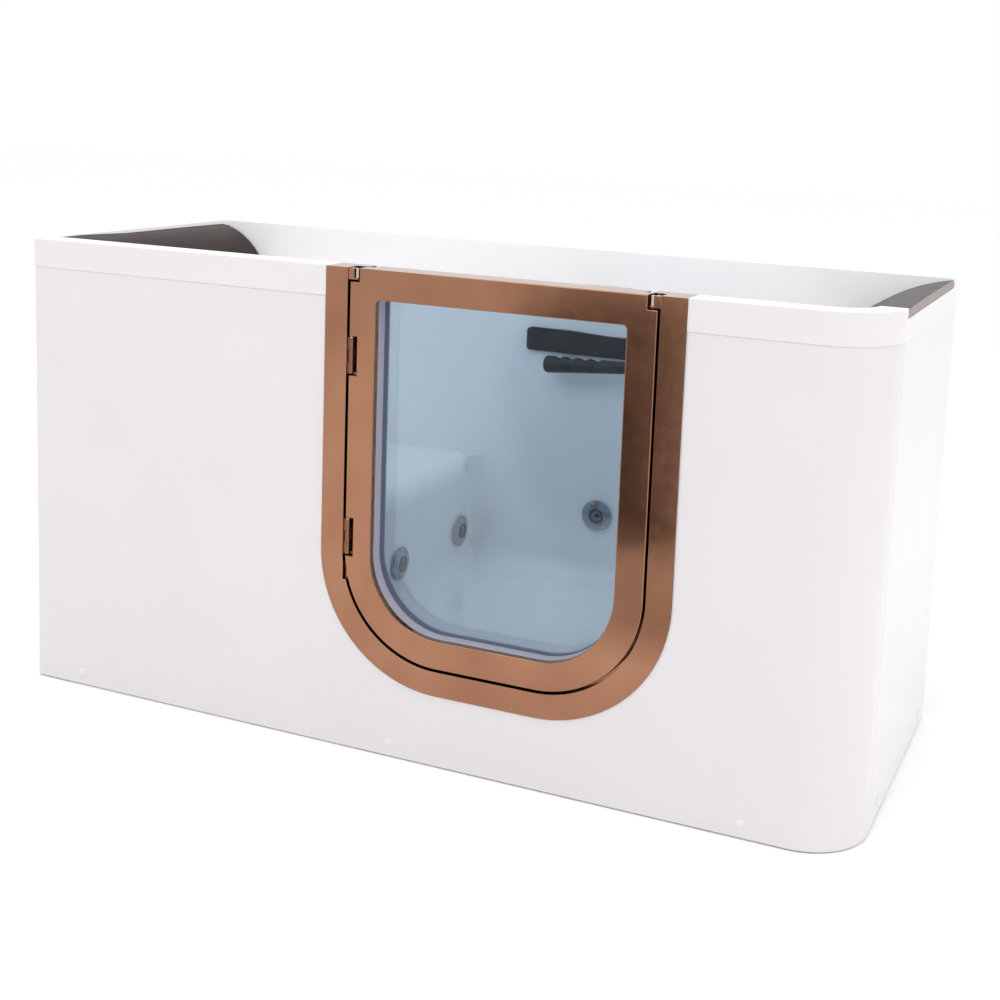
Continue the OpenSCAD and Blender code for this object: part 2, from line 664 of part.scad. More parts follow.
// Leaf: copper frame outside, light core inside, glass with its seal, and a retainer
module leaf_cuts(e) {
    for (z = [upper_hinge_z, lower_hinge_z]) box(leaf_x0 - 1, leaf_x0 + hinge_slot_w + e, door_face_y - 1,
        door_face_y + hinge_slot_d + e, z - hinge_slot_h / 2 - e, z + hinge_slot_h / 2 + e);
    box(leaf_x0 - 1, leaf_x0 + notch_w + e, door_face_y - 1, leaf_back_y + 1, tub_h - notch_h - e, tub_h + 1);
    box(leaf_x1 - notch_w - e, leaf_x1 + 1, door_face_y - 1, leaf_back_y + 1, tub_h - notch_h - e, tub_h + 1);
}
module door_frame() color("#b87a58") difference() {
    union() {
        leaf_ring(-door_gap, 0, door_face_y, door_face_y + leaf_sheet_t, tub_h);
        along_y(door_face_y + leaf_sheet_t, leaf_back_y) difference() {
            doorway(-door_gap, tub_h);
            doorway(-door_gap - leaf_sheet_t, tub_h - leaf_sheet_t);
        }
        along_y(door_face_y + leaf_sheet_t, door_face_y + reveal_d) difference() {
            window(lining_t);
            window(0);
        }
        // Folded linings of the slots and notches
        intersection() {
            leaf_cuts(leaf_sheet_t);
            along_y(door_face_y, leaf_back_y) doorway(-door_gap, tub_h);
        }
        // Top cover of the part behind the stop
        box(open_x0 - core_m, open_x1 + core_m, leaf_back_y - 1, core_back_y, tub_h - leaf_sheet_t, tub_h);
    }
    leaf_cuts(0);
    rod_x(leaf_x1 - 10, bolt_y, bolt_z, bolt_r + seat_gap, 20);
}
module door_core() color("#c9c7d4") difference() {
    g = seat_gap;
    sheet_y = door_face_y + leaf_sheet_t + g;
    core_top = tub_h - leaf_sheet_t - g;
    side_m = -door_gap - leaf_sheet_t - g;
    reveal_y = door_face_y + reveal_d + g;
    union() {
        leaf_ring(side_m, lining_t + g, sheet_y, reveal_y, core_top);
        leaf_ring(side_m, 0, reveal_y, leaf_back_y, core_top);
        leaf_ring(core_m, 0, leaf_back_y, core_back_y, core_top);
    }
    along_y(glass_y - seal_d, core_back_y + 1) window(3);
    along_y(glass_y - g, core_back_y + 1) window(glass_edge + g);
    leaf_cuts(leaf_sheet_t + g);
    // Pocket for the pinion and the bolt's flat, then the bores of the spindle and the bolt
    box(latch_x - rack_back - 2, latch_x + rack_front + 1, sheet_y - 1,
        bolt_y + bolt_r + 2, bolt_z - bolt_r - 2, latch_z + pinion_pitch + 1);
    rod_y(latch_x, door_face_y, latch_z, spindle_r + bore_gap, tub_w);
    rod_x(latch_x, bolt_y, bolt_z, bolt_r + bore_gap, door_w);
}
module door_glass() color("#a9bfd2", 0.4) along_y(glass_y, glass_y + glass_t) window(glass_edge);
module glazing_seal() color("#454558") along_y(glass_y - seal_d + seat_gap, glass_y) difference() {
    window(2.7);
    window(-1);
}
module glass_retainer() color("#b9b7c2") {
    along_y(glass_y + glass_t, core_back_y) difference() {
        window(glass_edge);
        window(1);
    }
    along_y(core_back_y, core_back_y + retainer_t) difference() {
        window(glass_edge + retainer_w);
        window(1);
    }
}

// Hinges: three knuckles each, the outer two on the post and the middle one on the leaf
module knuckle(z, k, web) {
    z0 = z - hinge_len / 2 + k * knuckle_h + knuckle_gap;
    h = knuckle_h - 2 * knuckle_gap;
    difference() {
        union() {
            rod_z(hinge_x, hinge_y, z0, knuckle_r, h);
            box(hinge_x + web[0], hinge_x + web[1], hinge_y + web[2], hinge_y + web[3], z0, z0 + h);
        }
        rod_z(hinge_x, hinge_y, z0 - 1, hinge_pin_r + bore_gap, h + 2);
    }
}
module hinge_jamb_leaf(z) color("#6b5a52") {
    for (k = [0, 2]) knuckle(z, k, [open_x0 + seat_gap - hinge_x, -hinge_pin_r - 0.5, -2, 2]);
    box(open_x0 + seat_gap, open_x0 + hinge_plate_t, door_face_y + 3, leaf_back_y - 3,
        z - hinge_len / 2, z + hinge_len / 2);
}
module hinge_door_leaf(z) color("#5d5048") {
    slot_y = door_face_y + hinge_slot_d;
    knuckle(z, 1, [-1.5, 1.5, hinge_pin_r + 0.5, slot_y - hinge_plate_t - hinge_y + 0.5]);
    box(leaf_x0 + 0.5, leaf_x0 + hinge_slot_w - 0.5, slot_y - hinge_plate_t, slot_y,
        z - hinge_len / 2, z + hinge_len / 2);
}
module hinge_pin(z) color("#a8a9ad") {
    rod_z(hinge_x, hinge_y, z - hinge_len / 2, hinge_pin_r, hinge_len);
    rod_z(hinge_x, hinge_y, z + hinge_len / 2, hinge_pin_r + 1.4, 2);
}
module upper_hinge_jamb_leaf() hinge_jamb_leaf(upper_hinge_z);
module upper_hinge_door_leaf() hinge_door_leaf(upper_hinge_z);
module upper_hinge_pin() hinge_pin(upper_hinge_z);
module lower_hinge_jamb_leaf() hinge_jamb_leaf(lower_hinge_z);
module lower_hinge_door_leaf() hinge_door_leaf(lower_hinge_z);
module lower_hinge_pin() hinge_pin(lower_hinge_z);

// Latch handle on the tub's side of the leaf, with its spindle and pinion
module latch_handle() color("#b98a70") {
    arm_top = tub_h - 2;
    rod_y(latch_x, hub_y, latch_z, hub_r, lever_t - 2);
    along_y(hub_y + 1, hub_y + lever_t) plan_even(latch_x - lever_len, latch_x + 7, arm_top - lever_h, arm_top, 6);
    rod_y(latch_x, bolt_y - pinion_t, latch_z, spindle_r, hub_y - bolt_y + pinion_t + 1);
    rod_y(latch_x, bolt_y - pinion_t / 2, latch_z, pinion_pitch - seat_gap, pinion_t);
}
module latch_bolt() color("#a2a4a8") difference() {
    rod_x(latch_x - rack_back, bolt_y, bolt_z, bolt_r, bolt_tip_x - latch_x + rack_back);
    box(latch_x - rack_back - 1, latch_x + rack_front, bolt_y - bolt_r - 1, bolt_y + bolt_r + 1,
        rack_z, bolt_z + bolt_r + 1);
}

// End pads on the rolled ends: a crown, and sides and lower edge drawn in
pad_rows = 18;
pad_ribs = 20;
pad_side_gap = 1.5;
pad_round = 8;
pad_crown = 1.5;
function fall(u) = let(k = max(0, 1 - u / pad_round)) 1 - sqrt(1 - k * k);
function pad_height(s, t, width, length) = pad_t - pad_crown * pow(2 * t - 1, 2)
    - (pad_side_fall - pad_crown) * max(fall(min(t, 1 - t) * width), fall((1 - s) * length));
function row(i) = sin(90 * i / pad_rows);
function rib(j) = (1 - cos(180 * j / pad_ribs)) / 2;
// Point at the radius r, where the end face stands upright at the distance e from the roll's axis
function pad_point(c, r, e, turn, s, y) = let(a0 = asin(e / r), a = a0 + (turn - a0) * s)
    [c[0] + c[2] * r * sin(a), y, c[1] + r * cos(a)];
// Sides of a pad at the distance d from its end: they follow the basin's rounded corners
function side_in(d, r) = d < r ? r - sqrt(r * r - (r - d) * (r - d)) : 0;
module rolled_pad(c, r, e, turn, y0, y1, corner) {
    m = pad_ribs + 1;
    n = (pad_rows + 1) * m;
    function across(s, t) = let(d = abs(pad_point(c, r, e, turn, s, 0)[0] - c[0]) - e + 1,
        k = side_in(d, corner)) y0 + k + (y1 - y0 - 2 * k) * t;
    low = [for (i = [0:pad_rows], j = [0:pad_ribs])
        pad_point(c, r, e, turn, row(i), across(row(i), rib(j)))];
    high = [for (i = [0:pad_rows], j = [0:pad_ribs])
        pad_point(c, r + pad_height(row(i), rib(j), y1 - y0, (turn - asin(e / r)) * r * PI / 180),
            e, turn, row(i), across(row(i), rib(j)))];
    quads = concat(
        [for (i = [0:pad_rows - 1], j = [0:pad_ribs - 1]) let(q = i * m + j) [q, q + 1, q + m + 1, q + m]],
        [for (i = [0:pad_rows - 1], j = [0:pad_ribs - 1]) let(q = n + i * m + j) [q, q + m, q + m + 1, q + 1]],
        [for (i = [0:pad_rows - 1]) let(q = i * m) [q, q + m, q + m + n, q + n]],
        [for (i = [0:pad_rows - 1]) let(q = i * m + pad_ribs) [q + m, q, q + n, q + m + n]],
        [for (j = [0:pad_ribs - 1]) [j + 1, j, j + n, j + 1 + n]],
        [for (j = [0:pad_ribs - 1]) let(q = pad_rows * m + j) [q, q + 1, q + 1 + n, q + n]]);
    faces = [for (f = quads) each [[f[0], f[1], f[2]], [f[0], f[2], f[3]]]];
    polyhedron(concat(low, high), c[2] < 0 ? [for (f = faces) [f[2], f[1], f[0]]] : faces);
}
module left_end_pad() color("#4f4947") rolled_pad([left_roll_x, left_roll_z, 1], left_roll_r + seat_gap,
    left_roll_out + left_strip_w + 1, left_pad_turn, -inner_y + pad_side_gap, inner_y - pad_side_gap, basin_corner_r);
module right_end_pad() color("#7e7572") rolled_pad([right_roll_x, right_roll_z, -1], right_roll_r + seat_gap,
    right_roll_out + seat_gap, right_pad_turn, pad_recess_y + pad_side_gap, inner_y - pad_side_gap, 2);

// Grab handle on the back wall: plate, and a tapered grip with finger grooves
plate_step = 4.5;
grip_x0 = handle_x + 62;
grip_x1 = handle_x + handle_len - 2;
grip_z = handle_z - 44.5;
grip_y = inner_y - grip_gap - grip_r;
grip_end_r = grip_r * 0.6;
grip_end_round = 7.5;
grip_span = grip_x1 - grip_end_r - grip_x0 - grip_end_round;
grip_tilt = atan(grip_lift / grip_span);
groove_r = 13;
groove_depth = 5.5;
leg_r = 8.5;
leg_foot_r = leg_r + 2.5;
leg_drop = 3;
leg_x = [grip_x0 + 30, grip_x1 - 30];
grab_screw_r = 2.8;
function grip_share(x) = (x - grip_x0 - grip_end_round) / grip_span;
function grip_axis_z(x) = grip_z + grip_lift * grip_share(x);
function grip_r_at(x) = grip_r + (grip_end_r - grip_r) * grip_share(x);
module grab_handle_plate() color("#2c2d31") difference() {
    along_y(inner_y - handle_plate_t, inner_y - seat_gap) {
        z0 = handle_z - handle_plate_h / 2;
        z1 = handle_z + handle_plate_h / 2;
        x1 = handle_x + handle_len;
        middle = handle_x + handle_len / 2;
        polygon(rounded([[middle, z0, 0], [x1, z0, 7], [x1, z1 - plate_step, 7],
            [handle_x + handle_len * 0.6, z1 - plate_step, 120], [handle_x + handle_len * 0.32, z1, 120],
            [handle_x, z1, 9], [handle_x, z0, 7], [middle - 1, z0, 0]], 8));
    }
    grab_screw_places() {
        translate([0, 0, -10]) cylinder(r = grab_screw_r + seat_gap, h = 40);
        translate([0, 0, handle_plate_t - 4]) cylinder(r = 6.5, h = 20);
    }
}
module grab_handle_grip() color("#26272b") difference() {
    union() {
        translate([grip_x0 + grip_end_round, grip_y, grip_z]) rotate([0, 90 - grip_tilt, 0]) grip_bar();
        for (x = leg_x) {
            rod_y(x, grip_y, grip_axis_z(x) - leg_drop, leg_r, inner_y - seat_gap - grip_y);
            rod_y(x, inner_y - seat_gap - 5, grip_axis_z(x) - leg_drop, leg_foot_r, 5);
        }
    }
    for (k = [0:3]) finger_groove(grip_x0 + 30 + k * groove_pitch);
}
module grip_bar() {
    rotate_extrude() translate([grip_r - grip_end_round, 0]) circle(grip_end_round);
    translate([0, 0, -grip_end_round]) cylinder(r = grip_r - grip_end_round, h = grip_end_round * 2);
    cylinder(r1 = grip_r, r2 = grip_end_r, h = grip_span);
    translate([0, 0, grip_span]) sphere(grip_end_r);
}
module finger_groove(x) rod_y(x, grip_y - grip_r - 1, grip_axis_z(x) + grip_r_at(x) + groove_r - groove_depth,
    groove_r, grip_r * 2 + 2);
module grab_handle_screws() color("#a8a9ad") grab_screw_places() {
    translate([0, 0, -shell_t - 4]) cylinder(r = grab_screw_r, h = shell_t + handle_plate_t);
    translate([0, 0, handle_plate_t - 4]) cylinder(r = 5.8, h = 3);
}

// Water jets: body through the wall, chrome bezel that turns, ball nozzle that tilts
jet_body_r = jet_body_bore_r + 5;
jet_flange_r = jet_bezel_r - 3;
jet_flange_t = 2.5;
jet_depth = 46;
jet_side_z = -28;
jet_side_r = 14;
jet_side_l = 46;
jet_air_r = 5;
jet_air_l = 42;
jet_ball_z = 1;
jet_face_z = seat_gap + jet_flange_t + seat_gap;
module jet_body(j) color("#e4e4e6") jet_place(j) difference() {
    union() {
        translate([0, 0, -jet_depth]) cylinder(r = jet_body_r, h = jet_depth + 1);
        translate([0, 0, seat_gap]) cylinder(r = jet_flange_r, h = jet_flange_t);
        translate([0, 0, -shell_t - 9]) cylinder(r = jet_flange_r + 1, h = 9 - seat_gap);
        translate([0, -jet_side_l, jet_side_z]) rotate([-90, 0, 0]) cylinder(r = jet_side_r, h = 2 * jet_side_l);
        translate([-jet_air_l, 0, jet_side_z]) rotate([0, 90, 0]) cylinder(r = jet_air_r, h = jet_air_l);
    }
    translate([0, 0, -jet_depth + 5]) cylinder(r = jet_body_bore_r, h = jet_depth + 10);
}
module jet_bezel(j) color("#c3c7cb") jet_place(j) difference() {
    union() {
        translate([0, 0, jet_face_z]) cylinder(r = jet_bezel_r, h = 3);
        translate([0, 0, jet_face_z + 3]) cylinder(r1 = jet_bezel_r, r2 = jet_ball_r + 6, h = 4);
        translate([0, 0, -12]) cylinder(r = jet_body_bore_r - bore_gap, h = jet_face_z + 13);
    }
    translate([0, 0, jet_ball_z]) sphere(jet_ball_r + bore_gap, $fn = 96);
    translate([0, 0, -30]) cylinder(r = jet_ball_r - 2, h = 60);
}
module jet_nozzle(j) color("#aeb2b8") jet_place(j) difference() {
    intersection() {
        translate([0, 0, jet_ball_z]) sphere(jet_ball_r, $fn = 96);
        translate([0, 0, jet_ball_z - 9]) cylinder(r = jet_ball_r + 1, h = 17.5);
    }
    translate([0, 0, -30]) cylinder(r = jet_hole_r, h = 60);
    translate([0, 0, jet_ball_z + 6.5]) cylinder(r1 = jet_hole_r, r2 = jet_ball_r - 5, h = 4);
}
module jet_body_1() jet_body(1);
module jet_body_2() jet_body(2);
module jet_body_3() jet_body(3);
module jet_bezel_1() jet_bezel(1);
module jet_bezel_2() jet_bezel(2);
module jet_bezel_3() jet_bezel(3);
module jet_nozzle_1() jet_nozzle(1);
module jet_nozzle_2() jet_nozzle(2);
module jet_nozzle_3() jet_nozzle(3);

// A wall fitting: flange inside the tub, threaded tail through the wall, and its back nut
module wall_fitting(flange_r, flange_t, tail_r, tail_l, nut_r) {
    translate([0, 0, seat_gap]) cylinder(r = flange_r, h = flange_t);
    translate([0, 0, -tail_l]) cylinder(r = tail_r, h = tail_l + 1);
    translate([0, 0, -shell_t - 8]) cylinder(r = nut_r, h = 8 - seat_gap);
}

// Suction fitting in the right backrest, with its perforated cover
suction_tail_r = pipe_r + 6;
suction_tail_l = 50;
module suction_body() color("#dcdcde") suction_place() difference() {
    wall_fitting(suction_r - 6, 3, suction_tail_r, suction_tail_l, suction_tail_r + 11);
    translate([0, 0, -suction_tail_l - 1]) cylinder(r = pipe_r - 3, h = 80);
}
module suction_cover() color("#c3c7cb") suction_place() difference() {
    union() {
        translate([0, 0, 3.6]) cylinder(r = suction_r, h = 5);
        translate([0, 0, 8.6]) cylinder(r1 = suction_r, r2 = suction_r - 10, h = 5);
    }
    translate([0, 0, 3]) cylinder(r = suction_r - 8, h = 5);
    for (q = [9:10:suction_r - 10], a = [0:360 / round(q * 0.7):359]) rotate(a)
        translate([q, 0, -1]) cylinder(r = 2.2, h = 30, $fn = 16);
}

// Drain with a lifting plug, overflow with its knob, and the waste pipe
drain_tail_r = 24;
drain_tail_l = 40;
drain_bore_r = 18;
plug_stem_r = 4;
module drain_body() color("#c3c7cb") translate([drain_x, drain_y, floor_h]) {
    difference() {
        wall_fitting(drain_r, 2.5, drain_tail_r, drain_tail_l, drain_tail_r + 8);
        translate([0, 0, -drain_tail_l - 1]) cylinder(r = drain_bore_r, h = 80);
        translate([0, 0, -1]) cylinder(r1 = drain_bore_r, r2 = drain_r - 6, h = 4);
    }
    translate([0, 0, -drain_tail_l + 4]) difference() {
        union() {
            cylinder(r = plug_stem_r + 3, h = 10);
            for (a = [0:60:120]) rotate(a) translate([-drain_bore_r - 1, -1.5, 0]) cube([2 * drain_bore_r + 2, 3, 8]);
        }
        translate([0, 0, -1]) cylinder(r = plug_stem_r + bore_gap, h = 14);
    }
}
module drain_plug() color("#d0d3d6") translate([drain_x, drain_y, floor_h]) {
    translate([0, 0, 3.2]) cylinder(r = drain_r - 4, h = 3);
    translate([0, 0, 6.2]) cylinder(r1 = drain_r - 4, r2 = drain_r - 12, h = 3);
    translate([0, 0, -drain_tail_l - plug_lift - 4]) cylinder(r = plug_stem_r, h = drain_tail_l + plug_lift + 8);
}
overflow_tail_r = 20;
collar_tail_r = 14;
fitting_tail_l = 30 + shell_t;
overflow_shaft_r = 5;
module overflow_body() color("#c3c7cb") wall_place(overflow_x, overflow_z) difference() {
    wall_fitting(overflow_r, 4, overflow_tail_r, fitting_tail_l, overflow_tail_r + 8);
    translate([0, 0, -fitting_tail_l + 6]) cylinder(r = overflow_shaft_r + bore_gap, h = 60);
}
module overflow_knob() color("#d0d3d6") wall_place(overflow_x, overflow_z) {
    translate([0, 0, -fitting_tail_l + 8]) cylinder(r = overflow_shaft_r, h = fitting_tail_l);
    translate([0, 0, 4.8]) cylinder(r = overflow_r - 5, h = 8);
    translate([0, 0, 12.8]) cylinder(r1 = overflow_r - 5, r2 = overflow_r - 12, h = 5);
}
wall_pipe_y = inner_y + 28;
waste_pipe_y = inner_y + 31;
waste_tee_y = waste_pipe_y - 36;
overflow_pipe_r = 16;
waste_r = 20;
waste_bore_r = 17;
waste_z = frame_top_z + waste_r + 8;
waste_end_y = back_y - 2;
spigot_l = 30;
collar_l = 10;
collar_t = 4;
module waste_pipe() color("#e8e8ea") difference() {
    union() {
        run([[overflow_x, waste_pipe_y, overflow_z - overflow_tail_r - seat_gap],
            [overflow_x, waste_pipe_y, waste_z + 42], [drain_x, waste_tee_y, waste_z + 42],
            [drain_x, waste_tee_y, waste_z + 5]], overflow_pipe_r);
        rod_z(drain_x, drain_y, waste_z - 12, drain_tail_r, floor_h - drain_tail_l - seat_gap - waste_z + 12);
        rod_y(drain_x, drain_y, waste_z, waste_r, waste_end_y - drain_y);
        rod_y(drain_x, waste_end_y - spigot_l - collar_l, waste_z, waste_r + collar_t, collar_l);
    }
    rod_z(drain_x, drain_y, waste_z, waste_bore_r, 40);
    rod_y(drain_x, drain_y, waste_z, waste_bore_r, tub_w);
}

// Air control and push button on the back wall
knob_shaft_r = 9;
module control_collar(x) color("#c3c7cb") wall_place(x, control_z) difference() {
    wall_fitting(22, 4, collar_tail_r, fitting_tail_l, collar_tail_r + 6);
    translate([0, 0, -fitting_tail_l + 6]) cylinder(r = knob_shaft_r + bore_gap, h = 60);
}
module air_control_collar() control_collar(air_control_x);
module button_collar() control_collar(button_x);
module air_control_knob() color("#d0d3d6") wall_place(air_control_x, control_z) {
    translate([0, 0, -fitting_tail_l + 8]) cylinder(r = knob_shaft_r, h = fitting_tail_l);
    translate([0, 0, 4.8]) cylinder(r = 19, h = 12);
    translate([-2.5, -18, 16.8]) cube([5, 36, 4]);
}
module push_button() color("#d0d3d6") wall_place(button_x, control_z) {
    translate([0, 0, -shell_t - 14]) cylinder(r = knob_shaft_r, h = shell_t + 21 + button_travel);
    translate([0, 0, 4.8 + button_travel]) cylinder(r = 15, h = 4);
}

// Water pump under the right backrest, with its shaft along the tub
wet_len = 70;
wet_r = 74;
inlet_l = 30;
shaft_r = 8;
outlet_x = pump_x + wet_len / 2;
outlet_y = pump_y - wet_r + pipe_r + 8;
outlet_z = pump_z + wet_r + 22;
motor_front = 14;
motor_rear = 26;
motor_x0 = pump_x + wet_len + 0.2;
motor_x1 = panel_x - panel_t - motor_end_gap;
motor_len = motor_x1 - motor_x0;
terminal_box = [0.22, 0.66];
motor_feet = [0.08, 0.44];
plate_z = frame_top_z + seat_gap;
plate_t = 6;
module pump_casing() color("#2f3238") difference() {
    union() {
        rod_x(pump_x, pump_y, pump_z, wet_r, wet_len);
        rod_x(pump_x - inlet_l, pump_y, pump_z, pipe_r + 6, inlet_l + 1);
        rod_z(outlet_x, outlet_y, pump_z, pipe_r + 6, outlet_z - pump_z);
    }
    rod_x(pump_x + 8, pump_y, pump_z, wet_r - 10, wet_len - 16);
    rod_x(pump_x - inlet_l - 1, pump_y, pump_z, pipe_r - 3, inlet_l + 20);
    rod_x(pump_x + 10, pump_y, pump_z, shaft_r + bore_gap, wet_len);
    rod_z(outlet_x, outlet_y, pump_z, pipe_r - 3, outlet_z - pump_z + 1);
}
module pump_motor() color("#54585e") difference() {
    union() {
        rod_x(motor_x0, pump_y, pump_z, motor_r, motor_len);
        for (a = [0:15:345]) translate([0, pump_y, pump_z]) rotate([a, 0, 0])
            box(motor_x0 + 20, motor_x1 - 25, -1.5, 1.5, motor_r - 1, motor_r + 4);
        box(motor_x0 + motor_feet[0] * motor_len, motor_x0 + motor_feet[1] * motor_len, pump_y - 50, pump_y + 50,
            plate_z + plate_t, pump_z - motor_r + 14);
        box(motor_x0 + terminal_box[0] * motor_len, motor_x0 + terminal_box[1] * motor_len, pump_y - 36,
            pump_y + 36, pump_z + motor_r - 10, pump_z + motor_r + 32);
    }
    rod_x(motor_x0 - 1, pump_y, pump_z, shaft_r + bore_gap, motor_len - 13);
    rod_x(motor_x0 + motor_front, pump_y, pump_z, motor_r - 8, motor_len - motor_front - motor_rear);
}
module pump_rotor() color("#8d9094") {
    rod_x(pump_x + 12, pump_y, pump_z, wet_r - 18, 6);
    for (a = [0:60:300]) translate([pump_x + 17.5, pump_y, pump_z]) rotate([a, 0, 0])
        box(0, 26, -2, 2, shaft_r - 2, wet_r - 20);
    rod_x(pump_x + 12, pump_y, pump_z, shaft_r, motor_x1 - pump_x - 12 - motor_rear + 10);
    rod_x(motor_x0 + motor_front + 16, pump_y, pump_z, 38, motor_len * 0.5);
}
plate_half_w = 75;
module pump_base() color("#9fa3a8") box(pump_cross_x - half_tube, end_cross[1] + half_tube, pump_y - plate_half_w,
    pump_y + plate_half_w, plate_z, plate_z + plate_t);

// Suction pipe, then the water line from jet to jet, then the air line above it
tail_dir = [sin(right_slope), 0, -cos(right_slope)];
module suction_pipe() color("#e6e6e8") {
    start = [suction_x, 0, suction_z] + tail_dir * (suction_tail_l + seat_gap);
    turn_at = start + tail_dir * 20;
    run([start, turn_at, [turn_at[0], pump_y, pump_z], [pump_x - inlet_l - seat_gap, pump_y, pump_z]], pipe_r);
}
line_x = seat_front_x + jet_side_z;
line_drop = 55;
line_y = -inner_y + line_drop;
under_z = floor_h - line_drop;
jet_reach = jet_side_l + seat_gap;
module water_pipes() color("#e6e6e8") {
    run([[outlet_x, outlet_y, outlet_z + seat_gap], [outlet_x, outlet_y, outlet_z + 40],
        [outlet_x, line_y, outlet_z + 40], [outlet_x, line_y, under_z],
        [line_x, line_y, under_z], [line_x, line_y, riser_jet_z],
        [line_x, riser_jet_y[0] - jet_reach, riser_jet_z]], pipe_r);
    run([[line_x, riser_jet_y[0] + jet_reach, riser_jet_z],
        [line_x, riser_jet_y[1] - jet_reach, riser_jet_z]], pipe_r);
    run([[line_x, riser_jet_y[1] + jet_reach, riser_jet_z], [line_x, wall_pipe_y, riser_jet_z],
        [line_x, wall_pipe_y, back_jet_z], [back_jet_x - jet_reach, wall_pipe_y, back_jet_z]], pipe_r);
}
air_z = seat_h - 30;
air_drop = jet_air_l + seat_gap;
module air_pipes() color("#cfd4da") {
    run([[air_control_x, wall_pipe_y, control_z - collar_tail_r - seat_gap], [air_control_x, wall_pipe_y, air_z],
        [line_x, wall_pipe_y, air_z], [line_x, riser_jet_y[0], air_z],
        [line_x, riser_jet_y[0], riser_jet_z + air_drop]], air_r);
    rod_z(line_x, riser_jet_y[1], riser_jet_z + air_drop, air_r - 1, air_z - riser_jet_z - air_drop);
    rod_z(back_jet_x, wall_pipe_y, back_jet_z + air_drop, air_r - 1, air_z - back_jet_z - air_drop);
}

tub_shell();
front_skirt();
right_side_panel();
left_side_panel();
corner_cover_strip();
panel_screws();
screw_caps();
base_frame();
levelling_feet();
foot_lock_nuts();
door_surround();
door_gasket();
corner_stop_blocks();
corner_stop_pins();
latch_keeper();
door_frame();
door_core();
door_glass();
glazing_seal();
glass_retainer();
upper_hinge_jamb_leaf();
upper_hinge_door_leaf();
upper_hinge_pin();
lower_hinge_jamb_leaf();
lower_hinge_door_leaf();
lower_hinge_pin();
latch_handle();
latch_bolt();
left_end_pad();
right_end_pad();
grab_handle_plate();
grab_handle_grip();
grab_handle_screws();
jet_body_1();
jet_body_2();
jet_body_3();
jet_bezel_1();
jet_bezel_2();
jet_bezel_3();
jet_nozzle_1();
jet_nozzle_2();
jet_nozzle_3();
suction_body();
suction_cover();
drain_body();
drain_plug();
overflow_body();
overflow_knob();
waste_pipe();
air_control_collar();
air_control_knob();
button_collar();
push_button();
pump_casing();
pump_motor();
pump_rotor();
pump_base();
suction_pipe();
water_pipes();
air_pipes();
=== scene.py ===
import math
import bpy
from mathutils import Matrix, Vector


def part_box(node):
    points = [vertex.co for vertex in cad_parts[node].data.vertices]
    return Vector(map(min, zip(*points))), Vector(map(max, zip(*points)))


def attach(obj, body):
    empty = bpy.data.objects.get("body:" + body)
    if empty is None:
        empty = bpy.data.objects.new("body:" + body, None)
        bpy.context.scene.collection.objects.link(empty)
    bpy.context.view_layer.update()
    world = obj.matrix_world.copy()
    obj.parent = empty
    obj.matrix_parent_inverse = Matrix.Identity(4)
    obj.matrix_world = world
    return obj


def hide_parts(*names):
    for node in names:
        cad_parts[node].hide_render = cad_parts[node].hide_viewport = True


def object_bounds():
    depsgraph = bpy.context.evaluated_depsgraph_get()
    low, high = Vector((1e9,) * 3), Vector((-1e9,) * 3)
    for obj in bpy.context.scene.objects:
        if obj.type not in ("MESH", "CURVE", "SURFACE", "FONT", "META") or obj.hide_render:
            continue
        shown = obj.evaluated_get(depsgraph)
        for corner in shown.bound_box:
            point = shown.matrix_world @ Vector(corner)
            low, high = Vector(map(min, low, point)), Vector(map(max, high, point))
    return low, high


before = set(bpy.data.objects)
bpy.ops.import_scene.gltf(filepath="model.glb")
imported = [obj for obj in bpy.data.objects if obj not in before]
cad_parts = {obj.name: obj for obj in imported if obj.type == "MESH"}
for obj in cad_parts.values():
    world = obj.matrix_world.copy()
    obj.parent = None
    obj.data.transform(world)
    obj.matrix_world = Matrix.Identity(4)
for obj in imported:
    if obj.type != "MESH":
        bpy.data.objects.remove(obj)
solid_low, solid_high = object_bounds()
bpy.ops.object.select_all(action="DESELECT")

# Camera
# It stands at the front right and a little above the rim, as the tub was photographed.
# The picture was cut from a larger one, so the lens is shifted.
eye = Vector((1.24447524, -2.68413802, 1.22294968))
pitch, yaw, roll = -0.147941783, -0.404915884, 0.0390567955
focal_px, centre_px = 1501.04465, (534.631759, 322.473902)
photo_px, sensor_mm = 1000, 36
ahead = Vector((math.sin(yaw) * math.cos(pitch), math.cos(yaw) * math.cos(pitch), math.sin(pitch)))
level_right = Vector((math.cos(yaw), -math.sin(yaw), 0))
level_up = level_right.cross(ahead)
right = math.cos(roll) * level_right + math.sin(roll) * level_up
up = math.cos(roll) * level_up - math.sin(roll) * level_right
bpy.ops.object.camera_add()
camera = bpy.context.object
camera.name = "photo_camera"
camera.matrix_world = Matrix.Translation(eye) @ Matrix((right, up, -ahead)).transposed().to_4x4()
camera.data.sensor_width = sensor_mm
camera.data.lens = focal_px / photo_px * sensor_mm
camera.data.shift_x = -(centre_px[0] - photo_px / 2) / photo_px
camera.data.shift_y = (centre_px[1] - photo_px / 2) / photo_px
camera.data.clip_end = 50
bpy.context.scene.camera = camera


# Studio floor
# A pale seamless paper under the tub, matt and almost white.
def linear(hex_colour):
    """Turns an sRGB hex value into linear red, green, blue and alpha."""
    parts = [int(hex_colour[i:i + 2], 16) / 255 for i in (1, 3, 5)]
    return tuple(c / 12.92 if c <= 0.04045 else ((c + 0.055) / 1.055) ** 2.4 for c in parts) + (1.0,)


